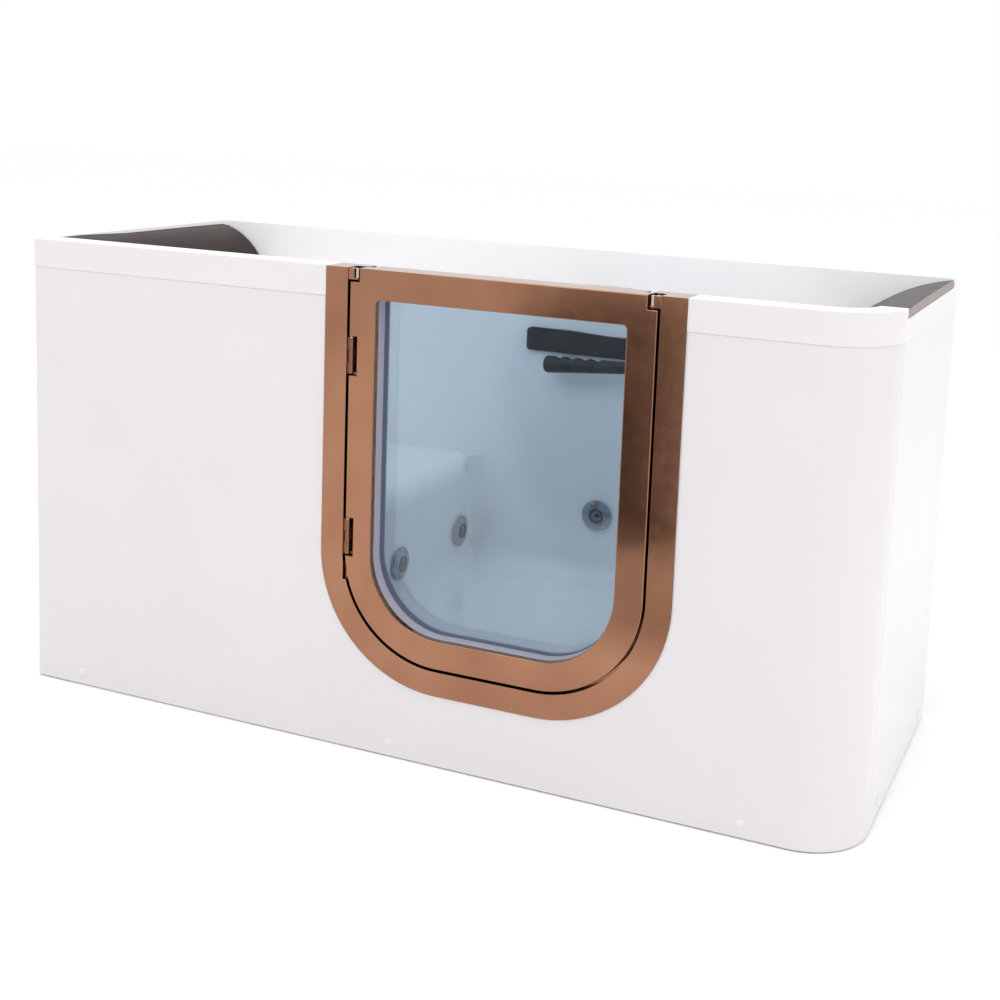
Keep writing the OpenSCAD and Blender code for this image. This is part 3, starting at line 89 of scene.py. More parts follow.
def add_node(finish, kind, sockets=None, **settings):
    """Adds a shader node. A socket takes a number, a colour or another node's output."""
    node = finish.node_tree.nodes.new(kind)
    for name, value in settings.items():
        setattr(node, name, value)
    for name, value in (sockets or {}).items():
        if isinstance(value, bpy.types.NodeSocket):
            finish.node_tree.links.new(value, node.inputs[name])
        else:
            node.inputs[name].default_value = value
    return node


def new_finish(name, hex_colour, **sockets):
    """Starts a material: its shader with the values that are the same all over."""
    finish = bpy.data.materials.new(name)
    finish.use_nodes = True
    finish.node_tree.nodes.clear()
    values = {"Base Color": linear(hex_colour)}
    values.update({key.replace("_", " "): value for key, value in sockets.items()})
    shader = add_node(finish, "ShaderNodeBsdfPrincipled", values)
    add_node(finish, "ShaderNodeOutputMaterial", {"Surface": shader.outputs["BSDF"]})
    return finish, shader


def join(finish, output, socket):
    finish.node_tree.links.new(output, socket)


paper, paper_shader = new_finish("seamless_paper", "#FFFFFF", Roughness=0.9)
paper_place = add_node(paper, "ShaderNodeTexCoord")
paper_fibre = add_node(paper, "ShaderNodeTexNoise", {"Vector": paper_place.outputs["Object"],
                                                     "Scale": 3.0})
paper_tone = add_node(paper, "ShaderNodeValToRGB", {"Fac": paper_fibre.outputs["Fac"]})
paper_tone.color_ramp.elements[0].color = linear("#FEFEFE")
paper_tone.color_ramp.elements[1].color = linear("#FFFFFF")
join(paper, paper_tone.outputs["Color"], paper_shader.inputs["Base Color"])
bpy.ops.mesh.primitive_plane_add(size=40)
floor = bpy.context.object
floor.name = "studio_floor"
floor.data.materials.append(paper)

# Studio light
# A white tent all round and three soft boxes: overhead, high in front and at the tub's right
# end. They leave the front a little greyer than the side.
tent = bpy.data.worlds.new("white_tent")
bpy.context.scene.world = tent
tent.use_nodes = True
tent.node_tree.nodes["Background"].inputs["Color"].default_value = linear("#FFFFFF")
tent.node_tree.nodes["Background"].inputs["Strength"].default_value = 1.0


def soft_box(name, place, target, size, watts):
    bpy.ops.object.light_add(type="AREA", location=place)
    lamp = bpy.context.object
    lamp.name = name
    lamp.rotation_euler = (Vector(target) - Vector(place)).to_track_quat("-Z", "Y").to_euler()
    lamp.data.shape = "RECTANGLE"
    lamp.data.size, lamp.data.size_y = size
    lamp.data.energy = watts


soft_box("overhead_box", (0.2, -0.6, 3.4), (0, 0, 0.5), (3.0, 2.2), 15)
soft_box("front_high_box", (-0.8, -3.4, 3.6), (0, 0, 0.6), (2.4, 1.6), 34)
soft_box("right_box", (3.4, -0.4, 1.9), (0.6, 0, 0.5), (1.8, 1.8), 20)
bpy.context.scene.view_settings.view_transform = "Standard"
bpy.context.scene.view_settings.look = "None"
bpy.context.scene.view_settings.exposure = 0.0


# Dark card
# A photographer lays a dark card on the floor, out of view, so that polished metal has something
# dark to mirror. Only mirror rays see it; it throws no shade and holds back no light.
card_cloth, card_shader = new_finish("dark_card_cloth", "#332D2B", Roughness=0.95)
# Where the card lets light through it is thinner: near its sides, at its near end and in streaks.
card_place = add_node(card_cloth, "ShaderNodeTexCoord")
card_axes = add_node(card_cloth, "ShaderNodeSeparateXYZ", {"Vector": card_place.outputs["UV"]})
card_weave = add_node(card_cloth, "ShaderNodeMapping", {"Vector": card_place.outputs["UV"],
                                                        "Scale": (9.0, 16.0, 1.0),
                                                        "Rotation": (0.0, 0.0, 0.6)})
card_fold = add_node(card_cloth, "ShaderNodeTexNoise", {"Vector": card_weave.outputs["Vector"],
                                                        "Scale": 1.0, "Detail": 3.0})
# Each ramp's steps are (place, cover), with its two ends first.
card_sides = add_node(card_cloth, "ShaderNodeValToRGB", {"Fac": card_axes.outputs["X"]})
card_ends = add_node(card_cloth, "ShaderNodeValToRGB", {"Fac": card_axes.outputs["Y"]})
card_folds = add_node(card_cloth, "ShaderNodeValToRGB", {"Fac": card_fold.outputs["Fac"]})
card_steps = (
    (card_sides, ((0.0, 0), (1.0, 0), (0.16, 1), (0.72, 1), (0.78, 0.88), (0.93, 0.88))),
    (card_ends, ((0.0, 0), (1.0, 0), (0.03, 0.42), (0.09, 0.42), (0.12, 1), (0.25, 0.98), (0.6, 0.88))),
    (card_folds, ((0.38, 0.93), (0.62, 1))))
for ramp, steps in card_steps:
    for number, (place, grey) in enumerate(steps):
        stop = ramp.color_ramp.elements[number] if number < 2 else ramp.color_ramp.elements.new(place)
        stop.position = place
        stop.color = (grey, grey, grey, 1)
card_across = add_node(card_cloth, "ShaderNodeMath", operation="MULTIPLY")
join(card_cloth, card_sides.outputs["Color"], card_across.inputs[0])
join(card_cloth, card_ends.outputs["Color"], card_across.inputs[1])
card_cover = add_node(card_cloth, "ShaderNodeMath", operation="MULTIPLY")
join(card_cloth, card_across.outputs["Value"], card_cover.inputs[0])
join(card_cloth, card_folds.outputs["Color"], card_cover.inputs[1])
card_bare = add_node(card_cloth, "ShaderNodeBsdfTransparent")
card_mix = add_node(card_cloth, "ShaderNodeMixShader", {"Fac": card_cover.outputs["Value"]})
join(card_cloth, card_bare.outputs["BSDF"], card_mix.inputs[1])
join(card_cloth, card_shader.outputs["BSDF"], card_mix.inputs[2])
card_surface = [node for node in card_cloth.node_tree.nodes if node.type == "OUTPUT_MATERIAL"][0]
join(card_cloth, card_mix.outputs["Shader"], card_surface.inputs["Surface"])
# The card narrows towards the door: near and far edge, each with its middle and its width.
card_near, card_near_width = (0.225, -1.0), 0.25
card_far, card_far_width = (-2.705, -9.0), 1.29
# Its left side bulges half way along, where the glass mirrors it in front of the grab handle.
card_bulge = 0.4
card_height = 0.01
bpy.ops.object.select_all(action="DESELECT")
bpy.ops.mesh.primitive_grid_add(x_subdivisions=8, y_subdivisions=24, size=1,
                                location=(0, 0, card_height))
card = bpy.context.object
card.name = "dark_card"
for corner in card.data.vertices:
    along = corner.co.y + 0.5
    width = card_near_width + (card_far_width - card_near_width) * along
    bulge = card_bulge * max(math.sin(math.pi * along * 1.25), 0) * (0.5 - corner.co.x)
    corner.co.x = card_near[0] + (card_far[0] - card_near[0]) * along + corner.co.x * width - bulge
    corner.co.y = card_near[1] + (card_far[1] - card_near[1]) * along
card.data.materials.append(card_cloth)
card.visible_camera = card.visible_diffuse = card.visible_shadow = card.visible_transmission = False

# Shell
# One acrylic sheet drawn by vacuum into a heated mould: rims, seat, footwell and backrests.
# Its hidden side is sprayed with glass-fibre resin, so it is matt, yellowish and uneven.
def copy_of(node, name):
    """Copies a CAD node's mesh and merges its loose triangles, ready to finish by hand."""
    bpy.ops.object.select_all(action="DESELECT")
    piece = bpy.data.objects.new(name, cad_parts[node].data.copy())
    piece.data.name = name
    piece.data.materials.clear()
    bpy.context.scene.collection.objects.link(piece)
    bpy.context.view_layer.objects.active = piece
    piece.select_set(True)
    bpy.ops.object.mode_set(mode="EDIT")
    bpy.ops.mesh.select_all(action="SELECT")
    bpy.ops.mesh.remove_doubles(threshold=0.00002)
    bpy.ops.mesh.dissolve_limited(angle_limit=math.radians(0.3))
    bpy.ops.object.mode_set(mode="OBJECT")
    return piece


def finish_modifier(piece, kind, **settings):
    """Adds a modifier to the piece and applies it."""
    modifier = piece.modifiers.new(kind.lower(), kind)
    for name, value in settings.items():
        setattr(modifier, name, value)
    bpy.context.view_layer.objects.active = piece
    bpy.ops.object.modifier_apply(modifier=modifier.name)


def round_edges(piece, radius, segments=2, sharper_than=35):
    """Rounds every edge that is sharper than the angle. Flat faces keep their own straight normals."""
    finish_modifier(piece, "BEVEL", width=radius, segments=segments, limit_method="ANGLE",
                    angle_limit=math.radians(sharper_than), use_clamp_overlap=True,
                    miter_outer="MITER_SHARP")
    bpy.ops.object.select_all(action="DESELECT")
    piece.select_set(True)
    bpy.context.view_layer.objects.active = piece
    bpy.ops.object.shade_smooth_by_angle(angle=math.radians(sharper_than))
    finish_modifier(piece, "WEIGHTED_NORMAL", mode="FACE_AREA", weight=80, keep_sharp=True)


def put(piece, finish, body, slot_name, *nodes):
    """Gives a finished piece its material and its body, and hides the CAD nodes it stands for.
    slot_name is not used.
    """
    if not piece.data.materials:
        piece.data.materials.append(finish)
    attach(piece, body)
    if nodes:
        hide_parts(*nodes)


acrylic, acrylic_shader = new_finish("vacuum_formed_acrylic", "#FAF9FA", Roughness=0.16, IOR=1.49,
                                     Coat_Weight=0.25, Coat_Roughness=0.05)
# The drawn sheet keeps a faint orange peel, about 25 mm across, and a hardly visible change of tone.
acrylic_place = add_node(acrylic, "ShaderNodeTexCoord")
acrylic_peel = add_node(acrylic, "ShaderNodeTexNoise", {"Vector": acrylic_place.outputs["Object"],
                                                        "Scale": 40.0})
acrylic_bump = add_node(acrylic, "ShaderNodeBump", {"Height": acrylic_peel.outputs["Fac"],
                                                    "Strength": 0.012, "Distance": 0.002})
acrylic_cloud = add_node(acrylic, "ShaderNodeTexNoise", {"Vector": acrylic_place.outputs["Object"],
                                                         "Scale": 2.2})
acrylic_tone = add_node(acrylic, "ShaderNodeValToRGB", {"Fac": acrylic_cloud.outputs["Fac"]})
acrylic_tone.color_ramp.elements[0].color = linear("#F9F8F9")
acrylic_tone.color_ramp.elements[1].color = linear("#FBFAFB")
join(acrylic, acrylic_tone.outputs["Color"], acrylic_shader.inputs["Base Color"])
join(acrylic, acrylic_bump.outputs["Normal"], acrylic_shader.inputs["Normal"])

laminate, laminate_shader = new_finish("glass_fibre_laminate", "#D9D3BE", Roughness=0.55, IOR=1.55)
# Chopped strands, drawn about 11 mm long and 2 to 4 mm apart, show through the sprayed resin.
laminate_place = add_node(laminate, "ShaderNodeTexCoord")
laminate_stretch = add_node(laminate, "ShaderNodeMapping", {"Vector": laminate_place.outputs["Object"],
                                                            "Scale": (1.0, 3.0, 5.0)})
laminate_strand = add_node(laminate, "ShaderNodeTexNoise",
                           {"Vector": laminate_stretch.outputs["Vector"], "Scale": 90.0,
                            "Detail": 6.0})
laminate_tone = add_node(laminate, "ShaderNodeValToRGB", {"Fac": laminate_strand.outputs["Fac"]})
laminate_tone.color_ramp.elements[0].position = 0.35
laminate_tone.color_ramp.elements[0].color = linear("#C9C2AB")
laminate_tone.color_ramp.elements[1].position = 0.7
laminate_tone.color_ramp.elements[1].color = linear("#E6E1D2")
laminate_bump = add_node(laminate, "ShaderNodeBump", {"Height": laminate_strand.outputs["Fac"],
                                                      "Strength": 0.5, "Distance": 0.001})
join(laminate, laminate_tone.outputs["Color"], laminate_shader.inputs["Base Color"])
join(laminate, laminate_bump.outputs["Normal"], laminate_shader.inputs["Normal"])

# The lip's outer face is a shade greyer than the basin, like the panels. This is painted shade, for the
# front that stands in less light.
shaded_lip_acrylic = acrylic.copy()
shaded_lip_acrylic.name = "acrylic_lip_painted_shade"
lip_shaded_tone = [node for node in shaded_lip_acrylic.node_tree.nodes if node.type == "VALTORGB"][0]
lip_shaded_tone.color_ramp.elements[0].color = linear("#D7D3D5")
lip_shaded_tone.color_ramp.elements[1].color = linear("#DBD7D9")

shell = copy_of("tub_shell", "acrylic_shell")
round_edges(shell, 0.0025, segments=3)
for finish in (acrylic, laminate, shaded_lip_acrylic):
    shell.data.materials.append(finish)
shell_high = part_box("tub_shell")[1]
basin_middle = Vector((0.10, 0.0, 0.70))
rim_depth, lip_sheet, corner_r = 0.010, 0.006, 0.115
corner_reach, corner_lip = 0.035, 0.007
corner_middle = Vector((solid_high.x - corner_r, solid_low.y + corner_r))
for face in shell.data.polygons:
    from_edge = min(solid_high.x - abs(face.center.x), solid_high.y - abs(face.center.y))
    out_from_middle = (face.center.xy - corner_middle).length
    in_corner = (face.center.x > corner_middle.x - corner_reach
                 and face.center.y < corner_middle.y + corner_reach)
    round_the_corner = in_corner and out_from_middle > corner_r - corner_lip
    on_lip = from_edge < lip_sheet or (round_the_corner and face.normal.z < 0.5)
    on_rim = face.center.z > shell_high.z - rim_depth
    rolls_in = face.center.z > shell_high.z - 3 * rim_depth and face.normal.z > 0.3
    inside = face.normal.dot(basin_middle - face.center) > 0
    face.material_index = 0 if on_rim or rolls_in or on_lip or inside else 1
    # The lip's upright faces get the greyer copy, which is painted shade.
    if on_lip and abs(face.normal.z) < 0.4 and face.center.z < shell_high.z - 0.001:
        face.material_index = 2
put(shell, acrylic, "tub", "white_acrylic", "tub_shell")

# Skirt, side panels and cover strip
# Acrylic sheet on glass fibre again, bent round the front right corner and cut for the doorway.
# A narrow strip covers the right joint; the panels stop just under the shell's lip.
# The panels' acrylic is coloured greyer than the shell's. This is painted shade, for front faces that
# stand in less light than the rim.
shaded_panel_sheet, shaded_panel_shader = new_finish("panel_acrylic_painted_shade", "#D6D2D4", Roughness=0.2, IOR=1.49,
                                       Coat_Weight=0.2, Coat_Roughness=0.06)
# Long low waves of the flat sheet, about 200 mm apart, bend the reflections a little.
panel_place = add_node(shaded_panel_sheet, "ShaderNodeTexCoord")
panel_wave = add_node(shaded_panel_sheet, "ShaderNodeTexNoise", {"Vector": panel_place.outputs["Object"],
                                                          "Scale": 5.0, "Detail": 1.0})
panel_bump = add_node(shaded_panel_sheet, "ShaderNodeBump", {"Height": panel_wave.outputs["Fac"],
                                                      "Strength": 0.08, "Distance": 0.01})
# The tone ramp holds the same painted shade, with a little random change of tone.
panel_shaded_tone = add_node(shaded_panel_sheet, "ShaderNodeValToRGB", {"Fac": panel_wave.outputs["Fac"]})
panel_shaded_tone.color_ramp.elements[0].color = linear("#D4D0D2")
panel_shaded_tone.color_ramp.elements[1].color = linear("#D8D4D6")
join(shaded_panel_sheet, panel_shaded_tone.outputs["Color"], shaded_panel_shader.inputs["Base Color"])
join(shaded_panel_sheet, panel_bump.outputs["Normal"], shaded_panel_shader.inputs["Normal"])
for node in ("front_skirt", "right_side_panel", "left_side_panel", "corner_cover_strip"):
    panel = copy_of(node, node + "_sheet")
    round_edges(panel, 0.0008)
    put(panel, shaded_panel_sheet, "tub", "white_acrylic", node)

# Silicone in the seams
# White silicone closes the seam under the shell's lip, and a thinner grey bead runs round the
# door surround. Both were drawn along with a wet finger, so they are hollow and a little wavy.
seam_silicone, seam_shader = new_finish("white_silicone", "#E6E2E2", Roughness=0.3, IOR=1.41,
                                        Subsurface_Weight=0.2)
# The finger leaves shallow waves, about 15 mm long.
seam_place = add_node(seam_silicone, "ShaderNodeTexCoord")
seam_wave = add_node(seam_silicone, "ShaderNodeTexNoise", {"Vector": seam_place.outputs["Object"],
                                                           "Scale": 65.0})
seam_bump = add_node(seam_silicone, "ShaderNodeBump", {"Height": seam_wave.outputs["Fac"],
                                                       "Strength": 0.2, "Distance": 0.001})
join(seam_silicone, seam_bump.outputs["Normal"], seam_shader.inputs["Normal"])
panel_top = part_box("front_skirt")[1][2]
bead_height, bead_lift = 0.0010, 0.0011
for node in ("front_skirt", "right_side_panel", "left_side_panel"):
    bead = copy_of(node, node + "_seam_bead")
    bpy.ops.object.mode_set(mode="EDIT")
    bpy.ops.mesh.select_all(action="SELECT")
    bpy.ops.mesh.bisect(plane_co=(0, 0, panel_top - bead_height), plane_no=(0, 0, 1), use_fill=True,
                        clear_inner=True)
    bpy.ops.mesh.select_all(action="SELECT")
    bpy.ops.transform.translate(value=(0, 0, bead_lift))
    bpy.ops.object.mode_set(mode="OBJECT")
    round_edges(bead, 0.0003, segments=2)
    put(bead, seam_silicone, "tub", "white_acrylic")

grey_silicone, grey_seam_shader = new_finish("grey_silicone", "#C4C0C2", Roughness=0.35, IOR=1.41)
grey_seam_place = add_node(grey_silicone, "ShaderNodeTexCoord")
grey_seam_wave = add_node(grey_silicone, "ShaderNodeTexNoise",
                          {"Vector": grey_seam_place.outputs["Object"], "Scale": 65.0})
grey_seam_bump = add_node(grey_silicone, "ShaderNodeBump", {"Height": grey_seam_wave.outputs["Fac"],
                                                            "Strength": 0.2, "Distance": 0.001})
join(grey_silicone, grey_seam_bump.outputs["Normal"], grey_seam_shader.inputs["Normal"])
surround_low, surround_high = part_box("door_surround")
bead_proud, bead_wide, doorway_foot = 0.0015, 0.0014, 0.05
door_bead = copy_of("front_skirt", "surround_bead")
panel_face = min(corner.co.y for corner in door_bead.data.vertices)
bpy.ops.object.mode_set(mode="EDIT")
bpy.ops.mesh.select_mode(type="FACE")
bpy.ops.object.mode_set(mode="OBJECT")
# The doorway's cut edge is all that lies inside the surround's own width.
for face in door_bead.data.polygons:
    beside = surround_low.x < face.center.x < surround_high.x and abs(face.normal.y) < 0.1
    face.select = not (beside and doorway_foot < face.center.z < panel_top - 0.001)
bpy.ops.object.mode_set(mode="EDIT")
bpy.ops.mesh.delete(type="FACE")
bpy.ops.mesh.select_mode(type="VERT")
bpy.ops.object.mode_set(mode="OBJECT")
for corner in door_bead.data.vertices:
    corner.co.y = panel_face - bead_proud if corner.co.y < panel_face + 0.001 else panel_face
finish_modifier(door_bead, "SOLIDIFY", thickness=bead_wide, offset=-1)
round_edges(door_bead, 0.0004, segments=2)
put(door_bead, grey_silicone, "tub", "white_acrylic")


def dress(node, finish):
    """Gives a CAD node that keeps its own shape its material."""
    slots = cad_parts[node].material_slots
    for slot in slots:
        slot.material = finish


# Panel screws and their caps
# Zinc-plated screws hold the panels to tabs of the frame, under snap-on caps of white polyethylene.
zinc, zinc_shader = new_finish("zinc_plated_steel", "#B4B6BA", Metallic=1.0, Roughness=0.35)
# Bright and dull patches of the plating, a few millimetres wide.
zinc_place = add_node(zinc, "ShaderNodeTexCoord")
zinc_patch = add_node(zinc, "ShaderNodeTexNoise", {"Vector": zinc_place.outputs["Object"],
                                                   "Scale": 300.0})
zinc_tone = add_node(zinc, "ShaderNodeValToRGB", {"Fac": zinc_patch.outputs["Fac"]})
zinc_tone.color_ramp.elements[0].color = linear("#A3A5A9")
zinc_tone.color_ramp.elements[1].color = linear("#C9CBCE")
join(zinc, zinc_tone.outputs["Color"], zinc_shader.inputs["Base Color"])
# The white caps are coloured grey like the panels they sit on. This is painted shade.
shaded_cap_plastic, shaded_cap_shader = new_finish("polyethylene_cap_painted_shade", "#E2DEE0", Roughness=0.35, IOR=1.51,
                                     Subsurface_Weight=0.1)
cap_place = add_node(shaded_cap_plastic, "ShaderNodeTexCoord")
cap_grain = add_node(shaded_cap_plastic, "ShaderNodeTexNoise", {"Vector": cap_place.outputs["Object"],
                                                         "Scale": 900.0})
cap_bump = add_node(shaded_cap_plastic, "ShaderNodeBump", {"Height": cap_grain.outputs["Fac"],
                                                    "Strength": 0.05, "Distance": 0.0005})
join(shaded_cap_plastic, cap_bump.outputs["Normal"], shaded_cap_shader.inputs["Normal"])
dress("panel_screws", zinc)
dress("screw_caps", shaded_cap_plastic)

# Base frame, feet and lock nuts
# Square steel tube, welded and hot-dip galvanised. Threaded feet with rubber pads level the tub.
galvanised, galvanised_shader = new_finish("galvanised_steel", "#C0C4C8", Metallic=0.85, Roughness=0.42)
# Zinc crystals, about 12 mm across, each with its own tone.
galvanised_place = add_node(galvanised, "ShaderNodeTexCoord")
galvanised_spangle = add_node(galvanised, "ShaderNodeTexVoronoi",
                              {"Vector": galvanised_place.outputs["Object"], "Scale": 85.0})
galvanised_tone = add_node(galvanised, "ShaderNodeValToRGB",
                           {"Fac": galvanised_spangle.outputs["Color"]})
galvanised_tone.color_ramp.elements[0].color = linear("#A9ADB2")
galvanised_tone.color_ramp.elements[1].color = linear("#CDD1D5")
join(galvanised, galvanised_tone.outputs["Color"], galvanised_shader.inputs["Base Color"])
galvanised_dull = add_node(galvanised, "ShaderNodeMapRange",
                           {"Value": galvanised_spangle.outputs["Distance"], "To Min": 0.34,
                            "To Max": 0.55})
join(galvanised, galvanised_dull.outputs["Result"], galvanised_shader.inputs["Roughness"])
rubber, rubber_shader = new_finish("moulded_rubber", "#26272A", Roughness=0.7)
rubber_place = add_node(rubber, "ShaderNodeTexCoord")
rubber_grain = add_node(rubber, "ShaderNodeTexNoise", {"Vector": rubber_place.outputs["Object"],
                                                       "Scale": 600.0})
rubber_bump = add_node(rubber, "ShaderNodeBump", {"Height": rubber_grain.outputs["Fac"],
                                                  "Strength": 0.15, "Distance": 0.0005})
join(rubber, rubber_bump.outputs["Normal"], rubber_shader.inputs["Normal"])
dress("base_frame", galvanised)
dress("levelling_feet", rubber)
dress("foot_lock_nuts", zinc)

# Door surround
# Stainless sheet folded into a box section round the doorway, polished to a mirror and
# coated rose gold. The folds are tight, and the flat faces are never quite flat.
rose_gold, rose_shader = new_finish("rose_gold_coated_steel", "#A07258", Metallic=1.0, Roughness=0.09)
# The sheet wavers over about 120 mm, and faint wipe marks, 20 mm long, dull the coating.
rose_place = add_node(rose_gold, "ShaderNodeTexCoord")
rose_wave = add_node(rose_gold, "ShaderNodeTexNoise", {"Vector": rose_place.outputs["Object"],
                                                       "Scale": 9.0, "Detail": 1.0})
rose_bump = add_node(rose_gold, "ShaderNodeBump", {"Height": rose_wave.outputs["Fac"], "Strength": 0.05,
                                                   "Distance": 0.01})
rose_wipe = add_node(rose_gold, "ShaderNodeTexNoise", {"Vector": rose_place.outputs["Object"],
                                                       "Scale": 50.0, "Detail": 4.0})
rose_dull = add_node(rose_gold, "ShaderNodeMapRange", {"Value": rose_wipe.outputs["Fac"],
                                                       "To Min": 0.05, "To Max": 0.15})
rose_tone = add_node(rose_gold, "ShaderNodeValToRGB", {"Fac": rose_wave.outputs["Fac"]})
rose_tone.color_ramp.elements[0].color = linear("#94664E")
rose_tone.color_ramp.elements[1].color = linear("#AD8066")
join(rose_gold, rose_tone.outputs["Color"], rose_shader.inputs["Base Color"])
join(rose_gold, rose_dull.outputs["Result"], rose_shader.inputs["Roughness"])
join(rose_gold, rose_bump.outputs["Normal"], rose_shader.inputs["Normal"])


def soften_front(piece, front, radius):
    """Rounds the edges in the piece's front plane, where the folds catch the light."""
    bpy.ops.object.mode_set(mode="EDIT")
    bpy.ops.mesh.select_mode(type="EDGE")
    bpy.ops.mesh.select_all(action="DESELECT")
    bpy.ops.object.mode_set(mode="OBJECT")
    for edge in piece.data.edges:
        edge.select = all(piece.data.vertices[corner].co.y < front + 0.0002 for corner in edge.vertices)
    bpy.ops.object.mode_set(mode="EDIT")
    bpy.ops.mesh.bevel(offset=radius, segments=3, affect="EDGES", clamp_overlap=True)
    bpy.ops.mesh.select_mode(type="VERT")
    bpy.ops.object.mode_set(mode="OBJECT")


door_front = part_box("door_surround")[0].y
surround = copy_of("door_surround", "folded_surround")
soften_front(surround, door_front, 0.0014)
round_edges(surround, 0.0005)
put(surround, rose_gold, "tub", "copper_finish", "door_surround")

# Door gasket, corner stops and latch keeper
# A hollow rubber gasket is pressed on the surround's stop. Small folded blocks with steel pins
# stand in the leaf's top notches, and the keeper is a turned steel bush behind the post.
gasket_rubber, gasket_shader = new_finish("brown_gasket_rubber", "#5A4034", Roughness=0.6)
# Talc and fine moulding lines leave the rubber dull, in patches about 10 mm long.
gasket_place = add_node(gasket_rubber, "ShaderNodeTexCoord")
gasket_patch = add_node(gasket_rubber, "ShaderNodeTexNoise",
                        {"Vector": gasket_place.outputs["Object"], "Scale": 100.0})
gasket_tone = add_node(gasket_rubber, "ShaderNodeValToRGB", {"Fac": gasket_patch.outputs["Fac"]})
gasket_tone.color_ramp.elements[0].color = linear("#513A2F")
gasket_tone.color_ramp.elements[1].color = linear("#654A3D")
join(gasket_rubber, gasket_tone.outputs["Color"], gasket_shader.inputs["Base Color"])
dress("door_gasket", gasket_rubber)
stops = copy_of("corner_stop_blocks", "corner_blocks")
round_edges(stops, 0.0006)
put(stops, rose_gold, "tub", "copper_finish", "corner_stop_blocks")
bright_steel, bright_shader = new_finish("turned_stainless_steel", "#C3C5C8", Metallic=1.0,
                                         Roughness=0.18)
# Turning marks run round the steel, about 0.6 mm apart.
bright_place = add_node(bright_steel, "ShaderNodeTexCoord")
bright_mark = add_node(bright_steel, "ShaderNodeTexWave", {"Vector": bright_place.outputs["Object"],
                                                           "Scale": 500.0, "Distortion": 0.6},
                       bands_direction="Z")
bright_bump = add_node(bright_steel, "ShaderNodeBump", {"Height": bright_mark.outputs["Fac"],
                                                        "Strength": 0.05, "Distance": 0.0003})
join(bright_steel, bright_bump.outputs["Normal"], bright_shader.inputs["Normal"])
dress("corner_stop_pins", bright_steel)
dress("latch_keeper", bright_steel)

# Door leaf
# The same rose gold sheet is folded round a light extruded core. The glass lies on a slate blue
# glazing seal against the core, and a pale retainer holds it from the tub's side.
leaf = copy_of("door_frame", "leaf_frame_sheet")
soften_front(leaf, door_front, 0.0018)
round_edges(leaf, 0.0006)
put(leaf, rose_gold, "door", "copper_finish", "door_frame")
core_plastic, core_shader = new_finish("lilac_grey_extrusion", "#B0AEBE", Roughness=0.28, IOR=1.5)
# The tone of the extruded plastic changes a little over about 8 mm.
core_place = add_node(core_plastic, "ShaderNodeTexCoord")
core_line = add_node(core_plastic, "ShaderNodeTexNoise", {"Vector": core_place.outputs["Object"],
                                                          "Scale": 120.0})
core_tone = add_node(core_plastic, "ShaderNodeValToRGB", {"Fac": core_line.outputs["Fac"]})
core_tone.color_ramp.elements[0].color = linear("#A9A7B8")
core_tone.color_ramp.elements[1].color = linear("#B7B5C4")
join(core_plastic, core_tone.outputs["Color"], core_shader.inputs["Base Color"])
dress("door_core", core_plastic)
dress("glass_retainer", core_plastic)
seal_rubber, seal_shader = new_finish("slate_glazing_rubber", "#616679", Roughness=0.55)
seal_place = add_node(seal_rubber, "ShaderNodeTexCoord")
seal_line = add_node(seal_rubber, "ShaderNodeTexNoise", {"Vector": seal_place.outputs["Object"],
                                                         "Scale": 400.0})
seal_bump = add_node(seal_rubber, "ShaderNodeBump", {"Height": seal_line.outputs["Fac"],
                                                     "Strength": 0.15, "Distance": 0.0004})
join(seal_rubber, seal_bump.outputs["Normal"], seal_shader.inputs["Normal"])
dress("glazing_seal", seal_rubber)
glass, glass_shader = new_finish("tinted_float_glass", "#ADC2D2", Roughness=0.0, IOR=1.5,
                                 Transmission_Weight=1.0)
# Float glass has long shallow rolls, about 80 mm apart, that show only in reflections.
glass_place = add_node(glass, "ShaderNodeTexCoord")
glass_roll = add_node(glass, "ShaderNodeTexNoise", {"Vector": glass_place.outputs["Object"],
                                                    "Scale": 12.0, "Detail": 0.0})
glass_bump = add_node(glass, "ShaderNodeBump", {"Height": glass_roll.outputs["Fac"], "Strength": 0.01,
                                                "Distance": 0.002})
join(glass, glass_bump.outputs["Normal"], glass_shader.inputs["Normal"])
dress("door_glass", glass)

# Hinges
# Two stainless hinges in slots of the leaf's edge: three knuckles on a headed pin, coated
# darker than the frame.
hinge_metal, hinge_shader = new_finish("bronze_coated_steel", "#8A6350", Metallic=1.0, Roughness=0.25)
hinge_place = add_node(hinge_metal, "ShaderNodeTexCoord")
hinge_cast = add_node(hinge_metal, "ShaderNodeTexNoise", {"Vector": hinge_place.outputs["Object"],
                                                          "Scale": 250.0})
hinge_bump = add_node(hinge_metal, "ShaderNodeBump", {"Height": hinge_cast.outputs["Fac"],
                                                      "Strength": 0.2, "Distance": 0.0006})
join(hinge_metal, hinge_bump.outputs["Normal"], hinge_shader.inputs["Normal"])
for level in ("upper", "lower"):
    for side, body in (("jamb", "tub"), ("door", "door")):
        hinge = copy_of(level + "_hinge_" + side + "_leaf", level + "_hinge_" + side + "_half")
        round_edges(hinge, 0.0005)
        put(hinge, hinge_metal, body, "bronze_hinge", level + "_hinge_" + side + "_leaf")
    dress(level + "_hinge_pin", bright_steel)

# Latch
# A lever of the same rose gold turns a spindle on the tub's side of the leaf, and its disc
# shoots a steel bolt into the post.
lever = copy_of("latch_handle", "latch_lever_bar")
round_edges(lever, 0.0015, segments=3)
put(lever, rose_gold, "latch_lever", "copper_finish", "latch_handle")
dress("latch_bolt", bright_steel)

# End pads
# Moulded polyurethane head rests with a dense satin skin, fixed on the rolled ends. Their outer
# ends stand upright, their sides are drawn in, and the lower edge is rounded.
pad_skin, pad_shader = new_finish("integral_skin_polyurethane", "#241713", Roughness=0.4, IOR=1.5,
                                  Specular_IOR_Level=0.22)
